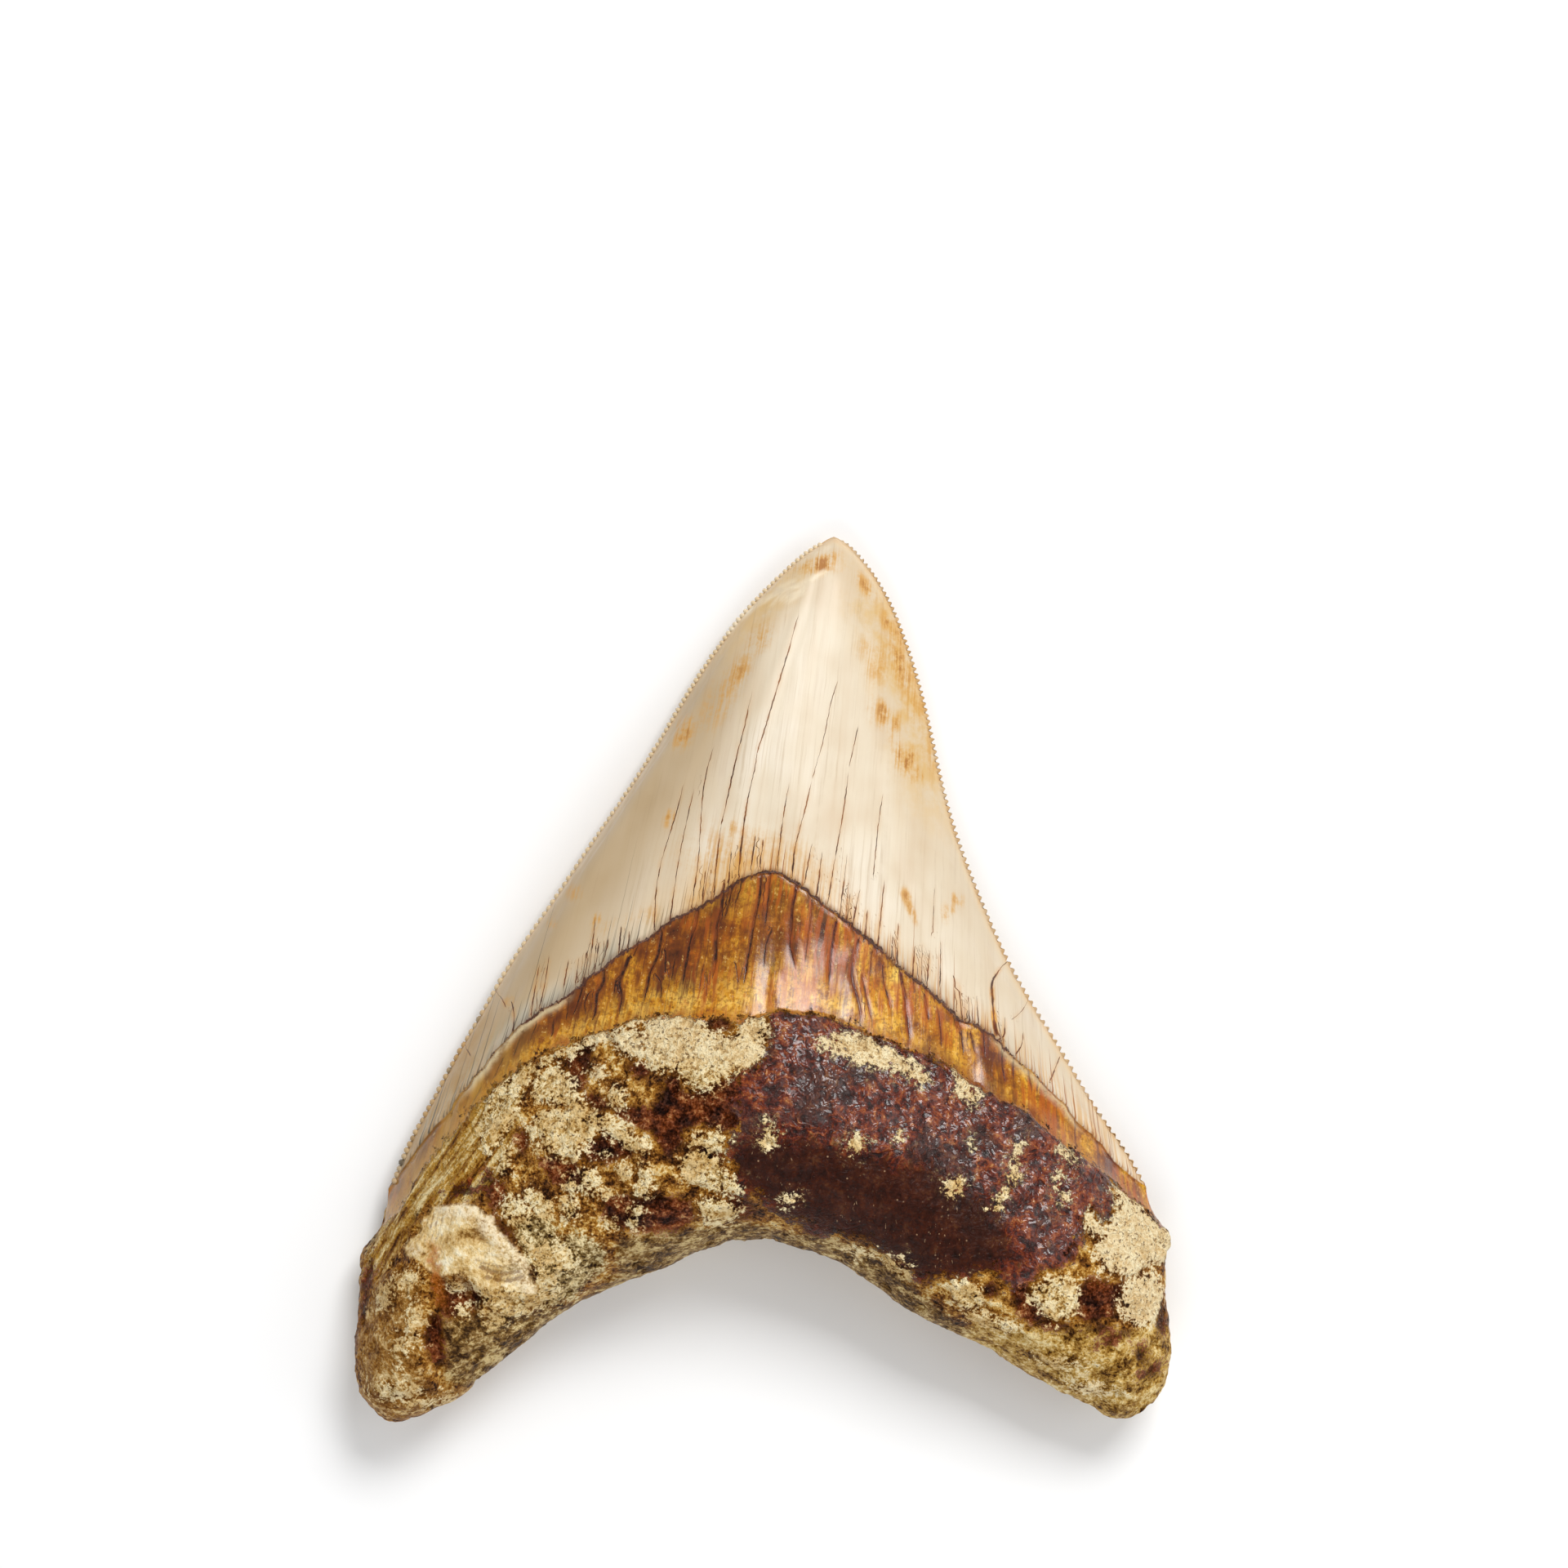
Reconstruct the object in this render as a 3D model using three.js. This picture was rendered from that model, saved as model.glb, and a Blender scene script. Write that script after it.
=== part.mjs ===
// Fossil megalodon tooth, one solid, lying on its labial (outer) face.
// Millimetres. +Z is up, out of the lingual (inner) face. +Y runs from the root's lobes to the crown's tip.
// The origin is on the surface it lies on, under the middle of its outline.
import * as THREE from "three";

// ---------------------------------------------------------------- driving dimensions
const SLANT_HEIGHT = 127; // tip of the crown to the lowest point of the left lobe
const DRAWN_SLANT = 119.81; // the same length between the outline points below, as they are written
const SCALE = SLANT_HEIGHT / DRAWN_SLANT;

// Plan outline, drawn at DRAWN_SLANT. Each side runs from the bottom of its lobe to the tip.
const LEFT_SIDE = [
  [-46.75, -53.2], [-48.55, -51.5], [-49.45, -49.5], [-49.75, -46.5], [-49.85, -43.5], [-49.75, -40.5],
  [-49.65, -37.7], [-49.55, -35.5], [-49.15, -33.9], [-48.05, -32.5], [-46.85, -30.5], [-46.55, -28.7],
  [-46.15, -26.2], [-45.25, -24.1], [-43.55, -20.2], [-41.35, -16.2], [-38.15, -10.2], [-34.65, -4.2],
  [-31.15, 1.8], [-26.95, 7.9], [-22.95, 13.9], [-18.85, 19.9], [-14.85, 25.9], [-11.25, 31.9],
  [-7.55, 37.9], [-5.55, 40.8], [-3.35, 43.8], [-1.55, 45.8], [0.35, 47.8], [2.45, 49.8],
  [4.75, 51.8], [6.75, 53.1], [8.65, 53.85],
];
const LEFT_SHOULDER = 12; // number of the point where enamel and root meet at the left side
const RIGHT_SIDE = [
  [46.25, -52.8], [47.85, -51.3], [48.95, -49.5], [49.55, -47.3], [49.75, -45], [49.55, -42],
  [49.25, -39.5], [49.25, -37], [49.45, -34], [49.65, -32.1], [48.85, -30.5], [47.65, -28.5],
  [46.95, -26], [44.95, -22.2], [40.85, -16.2], [37.25, -10.2], [33.55, -4.2], [30.15, 1.8],
  [27.45, 7.8], [25.05, 13.8], [23.05, 19.8], [21.55, 25.8], [20.25, 31.8], [18.65, 37.8],
  [17.65, 40.8], [16.55, 43.8], [15.65, 45.8], [14.55, 47.8], [13.25, 49.8], [11.65, 51.8],
  [10.25, 53.1], [8.65, 53.85],
];
const RIGHT_SHOULDER = 12;
// The root's base, from the left lobe over the basal arch to the right lobe.
const BASE = [
  [-46.75, -53.2], [-45.35, -53.85], [-43.55, -53.85], [-41.75, -53.2], [-39.75, -52.2], [-37.75, -51.3],
  [-35.75, -49.6], [-33.75, -48.3], [-31.75, -46.8], [-29.75, -45.3], [-27.75, -43.6], [-25.75, -42],
  [-23.75, -40.5], [-20.75, -38.8], [-17.75, -37.5], [-14.75, -36.3], [-11.75, -35], [-8.75, -33.7],
  [-5.75, -32.6], [-3.75, -32], [-1.75, -31.8], [0.25, -31.9], [2.25, -32.2], [4.25, -32.8],
  [6.25, -33.5], [8.25, -34.3], [10.25, -35.3], [12.25, -36.6], [14.25, -37.9], [16.25, -39.4],
  [18.25, -40.8], [20.25, -42], [22.25, -43], [24.25, -43.9], [26.25, -44.8], [28.25, -45.9],
  [30.25, -47.2], [32.25, -48.3], [34.25, -49.3], [36.25, -50.6], [38.25, -51.4], [40.25, -52.3],
  [41.85, -53.4], [43.25, -53.75], [44.85, -53.5], [46.25, -52.8],
];
// The enamel's lower edge on the lingual face, from shoulder to shoulder.
const ENAMEL_EDGE = [
  [-46.15, -26.2], [-43.55, -22.6], [-41.55, -20], [-39.05, -17], [-37.55, -15], [-35.55, -12.5],
  [-33.55, -10.2], [-31.55, -7.7], [-29.55, -5.7], [-28.05, -4.5], [-24.55, -2.3], [-21.55, -0.1],
  [-19.05, 1.7], [-16.55, 3.5], [-14.05, 5], [-10.55, 7.5], [-6.55, 9.3], [-4.05, 11.2],
  [-1.75, 12.5], [-0.05, 13], [1.45, 13], [2.95, 12.2], [4.95, 11.1], [6.95, 9.3],
  [8.95, 7.7], [11.45, 5.8], [14.45, 3.2], [16.45, 1.5], [18.45, 0], [20.45, -1.7],
  [22.45, -3.7], [23.95, -5], [25.95, -5.7], [27.45, -6.7], [28.95, -8], [31.45, -10.5],
  [34.45, -13.5], [36.45, -15.7], [38.45, -17.7], [40.45, -19.7], [42.45, -22], [44.45, -24],
  [46.95, -26],
];

// Heights above the surface the tooth lies on. A column is a place across the tooth, from the left side (-1) to the
// right side (1). A row is a place along it: 0 is the root's base, 1 the enamel's edge, 2 the tip.
const ACROSS = [-1, -0.85, -0.6, -0.3, 0, 0.3, 0.6, 0.85, 1];
const ALONG = [0, 0.15, 0.35, 0.55, 0.75, 0.9, 1, 1.15, 1.35, 1.6, 1.8, 1.92, 2];
const LINGUAL_HEIGHT = [
  [12.0, 13.5, 15.0, 16.8, 17.6, 16.6, 15.0, 13.5, 12.0],
  [12.6, 15.2, 17.4, 20.2, 21.8, 20.0, 17.4, 15.2, 12.6],
  [12.2, 15.8, 18.6, 22.4, 24.4, 22.2, 18.6, 15.8, 12.2],
  [10.2, 14.4, 17.4, 20.8, 22.4, 20.6, 17.4, 14.4, 10.2],
  [7.6, 11.8, 15.0, 17.6, 18.8, 17.6, 15.0, 11.8, 7.6],
  [5.2, 9.4, 13.2, 16.0, 17.1, 16.0, 13.2, 9.4, 5.2],
  [3.6, 7.8, 12.2, 15.2, 16.4, 15.2, 12.2, 7.8, 3.6],
  [3.3, 7.0, 11.3, 14.4, 15.6, 14.4, 11.3, 7.0, 3.3],
  [3.1, 6.2, 10.1, 13.0, 14.2, 13.0, 10.1, 6.2, 3.1],
  [2.9, 5.1, 7.9, 10.2, 11.2, 10.2, 7.9, 5.1, 2.9],
  [2.8, 4.1, 5.9, 7.4, 8.0, 7.4, 5.9, 4.1, 2.8],
  [2.7, 3.4, 4.4, 5.2, 5.6, 5.2, 4.4, 3.4, 2.7],
  [2.7, 2.7, 2.7, 2.7, 2.7, 2.7, 2.7, 2.7, 2.7],
];
const LABIAL_HEIGHT = [
  [2.0, 0.9, 0.5, 1.2, 2.2, 1.2, 0.5, 0.9, 2.0],
  [1.3, 0.1, -0.4, 0.6, 1.7, 0.6, -0.4, 0.1, 1.3],
  [1.3, -0.1, -0.5, 0.5, 1.3, 0.5, -0.5, -0.1, 1.3],
  [1.7, 0.4, 0.0, 0.5, 0.9, 0.5, 0.0, 0.4, 1.7],
  [2.3, 1.0, 0.5, 0.5, 0.6, 0.5, 0.5, 1.0, 2.3],
  [3.0, 1.6, 0.8, 0.4, 0.3, 0.4, 0.8, 1.6, 3.0],
  [3.6, 2.0, 1.0, 0.3, 0.1, 0.3, 1.0, 2.0, 3.6],
  [3.3, 2.0, 0.9, 0.2, -0.1, 0.2, 0.9, 2.0, 3.3],
  [3.1, 1.9, 0.8, 0.1, -0.25, 0.1, 0.8, 1.9, 3.1],
  [2.9, 1.8, 0.8, 0.1, -0.25, 0.1, 0.8, 1.8, 2.9],
  [2.8, 2.0, 1.2, 0.5, 0.2, 0.5, 1.2, 2.0, 2.8],
  [2.7, 2.2, 1.6, 1.2, 1.0, 1.2, 1.6, 2.2, 2.7],
  [2.7, 2.7, 2.7, 2.7, 2.7, 2.7, 2.7, 2.7, 2.7],
];
// The outline's own height: half-way up the root's rounded rim, and the cutting edge's height on the crown.
const RIM_ALONG = [0, 0.3, 0.6, 0.85, 1, 1.35, 1.8, 2];
const RIM_HEIGHT = [7.6, 7.0, 5.6, 4.2, 3.6, 3.1, 2.8, 2.7];
const ARCH_RIM_EXTRA = 1.6; // the rim is this much higher at the top of the basal arch
const ROOT_RIM_RADIUS = 7.5; // how far in from the outline the root's rim rounds off
const CROWN_RIM_RADIUS = 0.8; // the same along the cutting edges
// A chipped knob of crust that stands out on the left lobe: drawn place, radii and height.
const KNOB = { x: -34.2, y: -33.0, rx: 6.6, ry: 6.2, height: 1.8 };

const ROOT_ROWS = 22;
const CROWN_ROWS = 28;
const ROOT_STEP = 2.15; // width of one column on the root
const CROWN_STEP = 2.4;

// ---------------------------------------------------------------- curves
const curve = (points) => {
  const c = new THREE.CatmullRomCurve3(
    points.map(([x, y]) => new THREE.Vector3(x * SCALE, y * SCALE, 0)),
    false,
    "centripetal",
  );
  c.arcLengthDivisions = 1500;
  return c;
};
const leftRoot = curve(LEFT_SIDE.slice(0, LEFT_SHOULDER + 1));
const leftCrown = curve(LEFT_SIDE.slice(LEFT_SHOULDER));
const rightRoot = curve(RIGHT_SIDE.slice(0, RIGHT_SHOULDER + 1));
const rightCrown = curve(RIGHT_SIDE.slice(RIGHT_SHOULDER));
const base = curve(BASE);
const enamelEdge = curve(ENAMEL_EDGE);

// A natural cubic spline through (xs, ys).
function spline(xs, ys) {
  const n = xs.length - 1;
  const h = xs.slice(1).map((x, i) => x - xs[i]);
  const diag = new Array(n + 1).fill(1);
  const upper = new Array(n + 1).fill(0);
  const m = new Array(n + 1).fill(0);
  for (let i = 1; i < n; i++) {
    const rhs = 6 * ((ys[i + 1] - ys[i]) / h[i] - (ys[i] - ys[i - 1]) / h[i - 1]);
    diag[i] = 2 * (h[i - 1] + h[i]) - h[i - 1] * upper[i - 1];
    upper[i] = h[i] / diag[i];
    m[i] = (rhs - h[i - 1] * m[i - 1]) / diag[i];
  }
  for (let i = n - 1; i > 0; i--) m[i] -= upper[i] * m[i + 1];
  m[0] = m[n] = 0;
  return (x) => {
    let i = 0;
    while (i < n - 1 && x > xs[i + 1]) i++;
    const a = (xs[i + 1] - x) / h[i];
    const b = 1 - a;
    return a * ys[i] + b * ys[i + 1] + (((a ** 3 - a) * m[i] + (b ** 3 - b) * m[i + 1]) * h[i] ** 2) / 6;
  };
}
const surface = (table) => {
  const across = table.map((row) => spline(ACROSS, row));
  return (u, t) => spline(ALONG, across.map((f) => f(u)))(t);
};
const lingualHeight = surface(LINGUAL_HEIGHT);
const labialHeight = surface(LABIAL_HEIGHT);
const rimAlong = spline(RIM_ALONG, RIM_HEIGHT);
const rimHeight = (u, t) =>
  rimAlong(t) + ARCH_RIM_EXTRA * Math.max(0, 1 - t) ** 4 * Math.max(0, 1 - u * u) ** 2;

// ---------------------------------------------------------------- plan
// Place (u, t) in plan. Root and crown are two patches that share the enamel's edge.
function plan(u, t) {
  const s = (u + 1) / 2;
  const crown = t > 1;
  const w = crown ? t - 1 : t;
  const left = (crown ? leftCrown : leftRoot).getPointAt(w);
  const right = (crown ? rightCrown : rightRoot).getPointAt(w);
  const low = (crown ? enamelEdge : base).getPointAt(s);
  const l0 = (crown ? leftCrown : leftRoot).getPointAt(0);
  const r0 = (crown ? rightCrown : rightRoot).getPointAt(0);
  const p = new THREE.Vector3()
    .addScaledVector(low, 1 - w)
    .addScaledVector(left, 1 - s)
    .addScaledVector(right, s)
    .addScaledVector(l0, -(1 - s) * (1 - w))
    .addScaledVector(r0, -s * (1 - w));
  const l1 = (crown ? leftCrown : leftRoot).getPointAt(1);
  const r1 = (crown ? rightCrown : rightRoot).getPointAt(1);
  const high = crown ? l1 : enamelEdge.getPointAt(s);
  return p
    .addScaledVector(high, w)
    .addScaledVector(l1, -(1 - s) * w)
    .addScaledVector(r1, -s * w);
}

const outline = [
  ...base.getSpacedPoints(420),
  ...rightRoot.getSpacedPoints(100).slice(1),
  ...rightCrown.getSpacedPoints(340).slice(1),
  ...leftCrown.getSpacedPoints(360).reverse().slice(1),
  ...leftRoot.getSpacedPoints(100).reverse().slice(1),
];
const segment = new THREE.Line3();
const nearest = new THREE.Vector3();
function distanceIn(p) {
  let best = Infinity;
  for (let i = 0; i + 1 < outline.length; i++) {
    segment.set(outline[i], outline[i + 1]);
    segment.closestPointToPoint(p, true, nearest);
    best = Math.min(best, nearest.distanceToSquared(p));
  }
  return Math.sqrt(best);
}

const smooth = (a, b, x) => THREE.MathUtils.smoothstep(x, a, b);
function height(p, u, t, lingual) {
  const rim = rimHeight(u, t);
  const radius = THREE.MathUtils.lerp(ROOT_RIM_RADIUS, CROWN_RIM_RADIUS, smooth(0.55, 1.02, t));
  const d = Math.min(1, distanceIn(p) / radius);
  const round = Math.sqrt(1 - (1 - d) ** 2);
  let bulk = (lingual ? lingualHeight : labialHeight)(u, t);
  if (lingual) {
    const r = Math.hypot((p.x / SCALE - KNOB.x) / KNOB.rx, (p.y / SCALE - KNOB.y) / KNOB.ry);
    bulk += KNOB.height * (1 - smooth(0.55, 1.15, r));
  }
  return Math.max(0, rim + (bulk - rim) * round);
}

// ---------------------------------------------------------------- mesh
const rows = [];
for (let i = 0; i < ROOT_ROWS; i++) rows.push(1 - Math.cos((Math.PI / 2) * (i / ROOT_ROWS)));
for (let i = 0; i < CROWN_ROWS; i++) rows.push(1 + (1 - (1 - i / CROWN_ROWS) ** 1.15));

const positions = [];
const addVertex = (p, z) => positions.push(p.x, p.y, z) / 3 - 1;

// Each row holds its columns' places and two lists of vertices, which share the row's two ends (and all of row 0).
const lines = rows.map((t, i) => {
  let length = 0;
  let last = plan(-1, t);
  for (let j = 1; j <= 40; j++) {
    const q = plan(-1 + j / 20, t);
    length += q.distanceTo(last);
    last = q;
  }
  const cluster = 1 - smooth(0.8, 1.1, t);
  const count = Math.max(4, Math.round(length / (t < 1 ? ROOT_STEP : CROWN_STEP)));
  const line = { u: [], top: [], bottom: [] };
  for (let j = 0; j <= count; j++) {
    const flat = (2 * j) / count - 1;
    const u = THREE.MathUtils.lerp(flat, Math.sin((Math.PI / 2) * flat), 0.75 * cluster);
    const p = plan(u, t);
    line.u.push(u);
    const v = addVertex(p, height(p, u, t, true));
    line.top.push(v);
    line.bottom.push(i === 0 || j === 0 || j === count ? v : addVertex(p, height(p, u, t, false)));
  }
  return line;
});
const tip = plan(0, 2);
const tipVertex = addVertex(tip, rimHeight(0, 2));

const index = [];
function face(a, b, c, up) {
  if (a === b || b === c || a === c) return;
  index.push(...(up ? [a, b, c] : [a, c, b]));
}
// Triangles between two rows, taking the nearer next column on either side in turn.
function zip(lower, upper, key, up) {
  let i = 0;
  let j = 0;
  while (i < lower.u.length - 1 || j < upper.u.length - 1) {
    const stepLow =
      j === upper.u.length - 1 ||
      (i < lower.u.length - 1 && lower.u[i + 1] + lower.u[i] <= upper.u[j + 1] + upper.u[j]);
    if (stepLow) {
      face(lower[key][i], lower[key][i + 1], upper[key][j], up);
      i++;
    } else {
      face(lower[key][i], upper[key][j + 1], upper[key][j], up);
      j++;
    }
  }
}
for (let r = 0; r + 1 < lines.length; r++) {
  zip(lines[r], lines[r + 1], "top", true);
  zip(lines[r], lines[r + 1], "bottom", false);
}
const end = lines[lines.length - 1];
for (let j = 0; j + 1 < end.u.length; j++) {
  face(end.top[j], end.top[j + 1], tipVertex, true);
  face(end.bottom[j], end.bottom[j + 1], tipVertex, false);
}

const geometry = new THREE.BufferGeometry();
geometry.setAttribute("position", new THREE.Float32BufferAttribute(positions, 3));
geometry.setIndex(index);
geometry.computeBoundingBox();
const middle = geometry.boundingBox.getCenter(new THREE.Vector3());
geometry.translate(-middle.x, -middle.y, -geometry.boundingBox.min.z);
geometry.computeVertexNormals();

const tooth = new THREE.Mesh(
  geometry,
  new THREE.MeshStandardMaterial({ color: 0xb08a5a, roughness: 0.45, metalness: 0 }),
);
tooth.name = "tooth";

const part = new THREE.Group();
part.add(tooth);
export default part;
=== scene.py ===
import bpy
import numpy as np
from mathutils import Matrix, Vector
from mathutils.kdtree import KDTree


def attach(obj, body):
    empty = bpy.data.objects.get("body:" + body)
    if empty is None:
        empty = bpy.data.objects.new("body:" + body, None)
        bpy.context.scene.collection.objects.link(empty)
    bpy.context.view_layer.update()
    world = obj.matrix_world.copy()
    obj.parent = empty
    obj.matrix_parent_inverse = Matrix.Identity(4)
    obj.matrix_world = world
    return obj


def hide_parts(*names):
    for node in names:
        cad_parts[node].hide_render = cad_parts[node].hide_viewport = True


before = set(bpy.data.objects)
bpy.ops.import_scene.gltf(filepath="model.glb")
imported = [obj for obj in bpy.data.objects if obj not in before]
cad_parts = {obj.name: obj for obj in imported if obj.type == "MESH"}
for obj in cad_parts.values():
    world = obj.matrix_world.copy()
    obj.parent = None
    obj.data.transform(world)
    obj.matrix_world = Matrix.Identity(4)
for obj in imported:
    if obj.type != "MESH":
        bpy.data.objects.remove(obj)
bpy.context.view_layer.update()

# ---------------------------------------------------------------- shape numbers, as in the solid
SCALE = 127 / 119.81
LEFT_SIDE = [
    (-46.75, -53.2), (-48.55, -51.5), (-49.45, -49.5), (-49.75, -46.5), (-49.85, -43.5), (-49.75, -40.5),
    (-49.65, -37.7), (-49.55, -35.5), (-49.15, -33.9), (-48.05, -32.5), (-46.85, -30.5), (-46.55, -28.7),
    (-46.15, -26.2), (-45.25, -24.1), (-43.55, -20.2), (-41.35, -16.2), (-38.15, -10.2), (-34.65, -4.2),
    (-31.15, 1.8), (-26.95, 7.9), (-22.95, 13.9), (-18.85, 19.9), (-14.85, 25.9), (-11.25, 31.9),
    (-7.55, 37.9), (-5.55, 40.8), (-3.35, 43.8), (-1.55, 45.8), (0.35, 47.8), (2.45, 49.8),
    (4.75, 51.8), (6.75, 53.1), (8.65, 53.85),
]
RIGHT_SIDE = [
    (46.25, -52.8), (47.85, -51.3), (48.95, -49.5), (49.55, -47.3), (49.75, -45), (49.55, -42),
    (49.25, -39.5), (49.25, -37), (49.45, -34), (49.65, -32.1), (48.85, -30.5), (47.65, -28.5),
    (46.95, -26), (44.95, -22.2), (40.85, -16.2), (37.25, -10.2), (33.55, -4.2), (30.15, 1.8),
    (27.45, 7.8), (25.05, 13.8), (23.05, 19.8), (21.55, 25.8), (20.25, 31.8), (18.65, 37.8),
    (17.65, 40.8), (16.55, 43.8), (15.65, 45.8), (14.55, 47.8), (13.25, 49.8), (11.65, 51.8),
    (10.25, 53.1), (8.65, 53.85),
]
SHOULDER = 12
BASE = [
    (-46.75, -53.2), (-45.35, -53.85), (-43.55, -53.85), (-41.75, -53.2), (-39.75, -52.2), (-37.75, -51.3),
    (-35.75, -49.6), (-33.75, -48.3), (-31.75, -46.8), (-29.75, -45.3), (-27.75, -43.6), (-25.75, -42),
    (-23.75, -40.5), (-20.75, -38.8), (-17.75, -37.5), (-14.75, -36.3), (-11.75, -35), (-8.75, -33.7),
    (-5.75, -32.6), (-3.75, -32), (-1.75, -31.8), (0.25, -31.9), (2.25, -32.2), (4.25, -32.8),
    (6.25, -33.5), (8.25, -34.3), (10.25, -35.3), (12.25, -36.6), (14.25, -37.9), (16.25, -39.4),
    (18.25, -40.8), (20.25, -42), (22.25, -43), (24.25, -43.9), (26.25, -44.8), (28.25, -45.9),
    (30.25, -47.2), (32.25, -48.3), (34.25, -49.3), (36.25, -50.6), (38.25, -51.4), (40.25, -52.3),
    (41.85, -53.4), (43.25, -53.75), (44.85, -53.5), (46.25, -52.8),
]
ENAMEL_EDGE = [
    (-46.15, -26.2), (-43.55, -22.6), (-41.55, -20), (-39.05, -17), (-37.55, -15), (-35.55, -12.5),
    (-33.55, -10.2), (-31.55, -7.7), (-29.55, -5.7), (-28.05, -4.5), (-24.55, -2.3), (-21.55, -0.1),
    (-19.05, 1.7), (-16.55, 3.5), (-14.05, 5), (-10.55, 7.5), (-6.55, 9.3), (-4.05, 11.2),
    (-1.75, 12.5), (-0.05, 13), (1.45, 13), (2.95, 12.2), (4.95, 11.1), (6.95, 9.3),
    (8.95, 7.7), (11.45, 5.8), (14.45, 3.2), (16.45, 1.5), (18.45, 0), (20.45, -1.7),
    (22.45, -3.7), (23.95, -5), (25.95, -5.7), (27.45, -6.7), (28.95, -8), (31.45, -10.5),
    (34.45, -13.5), (36.45, -15.7), (38.45, -17.7), (40.45, -19.7), (42.45, -22), (44.45, -24),
    (46.95, -26),
]
# The neck band's lower edge, where the root's crust begins.
NECK_EDGE = [
    (-48.35, -32), (-45.75, -29.5), (-43.55, -26.7), (-41.55, -23.7), (-39.05, -20.2), (-36.55, -16.9),
    (-33.55, -13.7), (-31.05, -11.6), (-28.55, -10), (-25.55, -8.5), (-23.55, -7.7), (-20.55, -6.7),
    (-17.55, -5.5), (-14.55, -4.6), (-12.05, -4.2), (-9.55, -4.3), (-5.55, -4.5), (-1.55, -4.3),
    (0.45, -4), (2.45, -3.7), (5.45, -4.2), (8.45, -4.8), (11.45, -5.6), (13.95, -6.7),
    (16.45, -7.8), (19.45, -9), (21.45, -10.2), (24.45, -11.9), (26.45, -13), (29.45, -14.8),
    (32.45, -16.7), (35.45, -18.9), (37.45, -20.5), (40.45, -23), (43.45, -25.5), (45.95, -27.7),
    (49.5, -31),
]
ACROSS = [-1, -0.85, -0.6, -0.3, 0, 0.3, 0.6, 0.85, 1]
ALONG = [0, 0.15, 0.35, 0.55, 0.75, 0.9, 1, 1.15, 1.35, 1.6, 1.8, 1.92, 2]
LINGUAL_HEIGHT = [
    [12.0, 13.5, 15.0, 16.8, 17.6, 16.6, 15.0, 13.5, 12.0],
    [12.6, 15.2, 17.4, 20.2, 21.8, 20.0, 17.4, 15.2, 12.6],
    [12.2, 15.8, 18.6, 22.4, 24.4, 22.2, 18.6, 15.8, 12.2],
    [10.2, 14.4, 17.4, 20.8, 22.4, 20.6, 17.4, 14.4, 10.2],
    [7.6, 11.8, 15.0, 17.6, 18.8, 17.6, 15.0, 11.8, 7.6],
    [5.2, 9.4, 13.2, 16.0, 17.1, 16.0, 13.2, 9.4, 5.2],
    [3.6, 7.8, 12.2, 15.2, 16.4, 15.2, 12.2, 7.8, 3.6],
    [3.3, 7.0, 11.3, 14.4, 15.6, 14.4, 11.3, 7.0, 3.3],
    [3.1, 6.2, 10.1, 13.0, 14.2, 13.0, 10.1, 6.2, 3.1],
    [2.9, 5.1, 7.9, 10.2, 11.2, 10.2, 7.9, 5.1, 2.9],
    [2.8, 4.1, 5.9, 7.4, 8.0, 7.4, 5.9, 4.1, 2.8],
    [2.7, 3.4, 4.4, 5.2, 5.6, 5.2, 4.4, 3.4, 2.7],
    [2.7, 2.7, 2.7, 2.7, 2.7, 2.7, 2.7, 2.7, 2.7],
]
LABIAL_HEIGHT = [
    [2.0, 0.9, 0.5, 1.2, 2.2, 1.2, 0.5, 0.9, 2.0],
    [1.3, 0.1, -0.4, 0.6, 1.7, 0.6, -0.4, 0.1, 1.3],
    [1.3, -0.1, -0.5, 0.5, 1.3, 0.5, -0.5, -0.1, 1.3],
    [1.7, 0.4, 0.0, 0.5, 0.9, 0.5, 0.0, 0.4, 1.7],
    [2.3, 1.0, 0.5, 0.5, 0.6, 0.5, 0.5, 1.0, 2.3],
    [3.0, 1.6, 0.8, 0.4, 0.3, 0.4, 0.8, 1.6, 3.0],
    [3.6, 2.0, 1.0, 0.3, 0.1, 0.3, 1.0, 2.0, 3.6],
    [3.3, 2.0, 0.9, 0.2, -0.1, 0.2, 0.9, 2.0, 3.3],
    [3.1, 1.9, 0.8, 0.1, -0.25, 0.1, 0.8, 1.9, 3.1],
    [2.9, 1.8, 0.8, 0.1, -0.25, 0.1, 0.8, 1.8, 2.9],
    [2.8, 2.0, 1.2, 0.5, 0.2, 0.5, 1.2, 2.0, 2.8],
    [2.7, 2.2, 1.6, 1.2, 1.0, 1.2, 1.6, 2.2, 2.7],
    [2.7, 2.7, 2.7, 2.7, 2.7, 2.7, 2.7, 2.7, 2.7],
]
RIM_ALONG = [0, 0.3, 0.6, 0.85, 1, 1.35, 1.8, 2]
RIM_HEIGHT = [7.6, 7.0, 5.6, 4.2, 3.6, 3.1, 2.8, 2.7]
ARCH_RIM_EXTRA = 1.6
ROOT_RIM_RADIUS = 7.5
CROWN_RIM_RADIUS = 0.8

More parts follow.
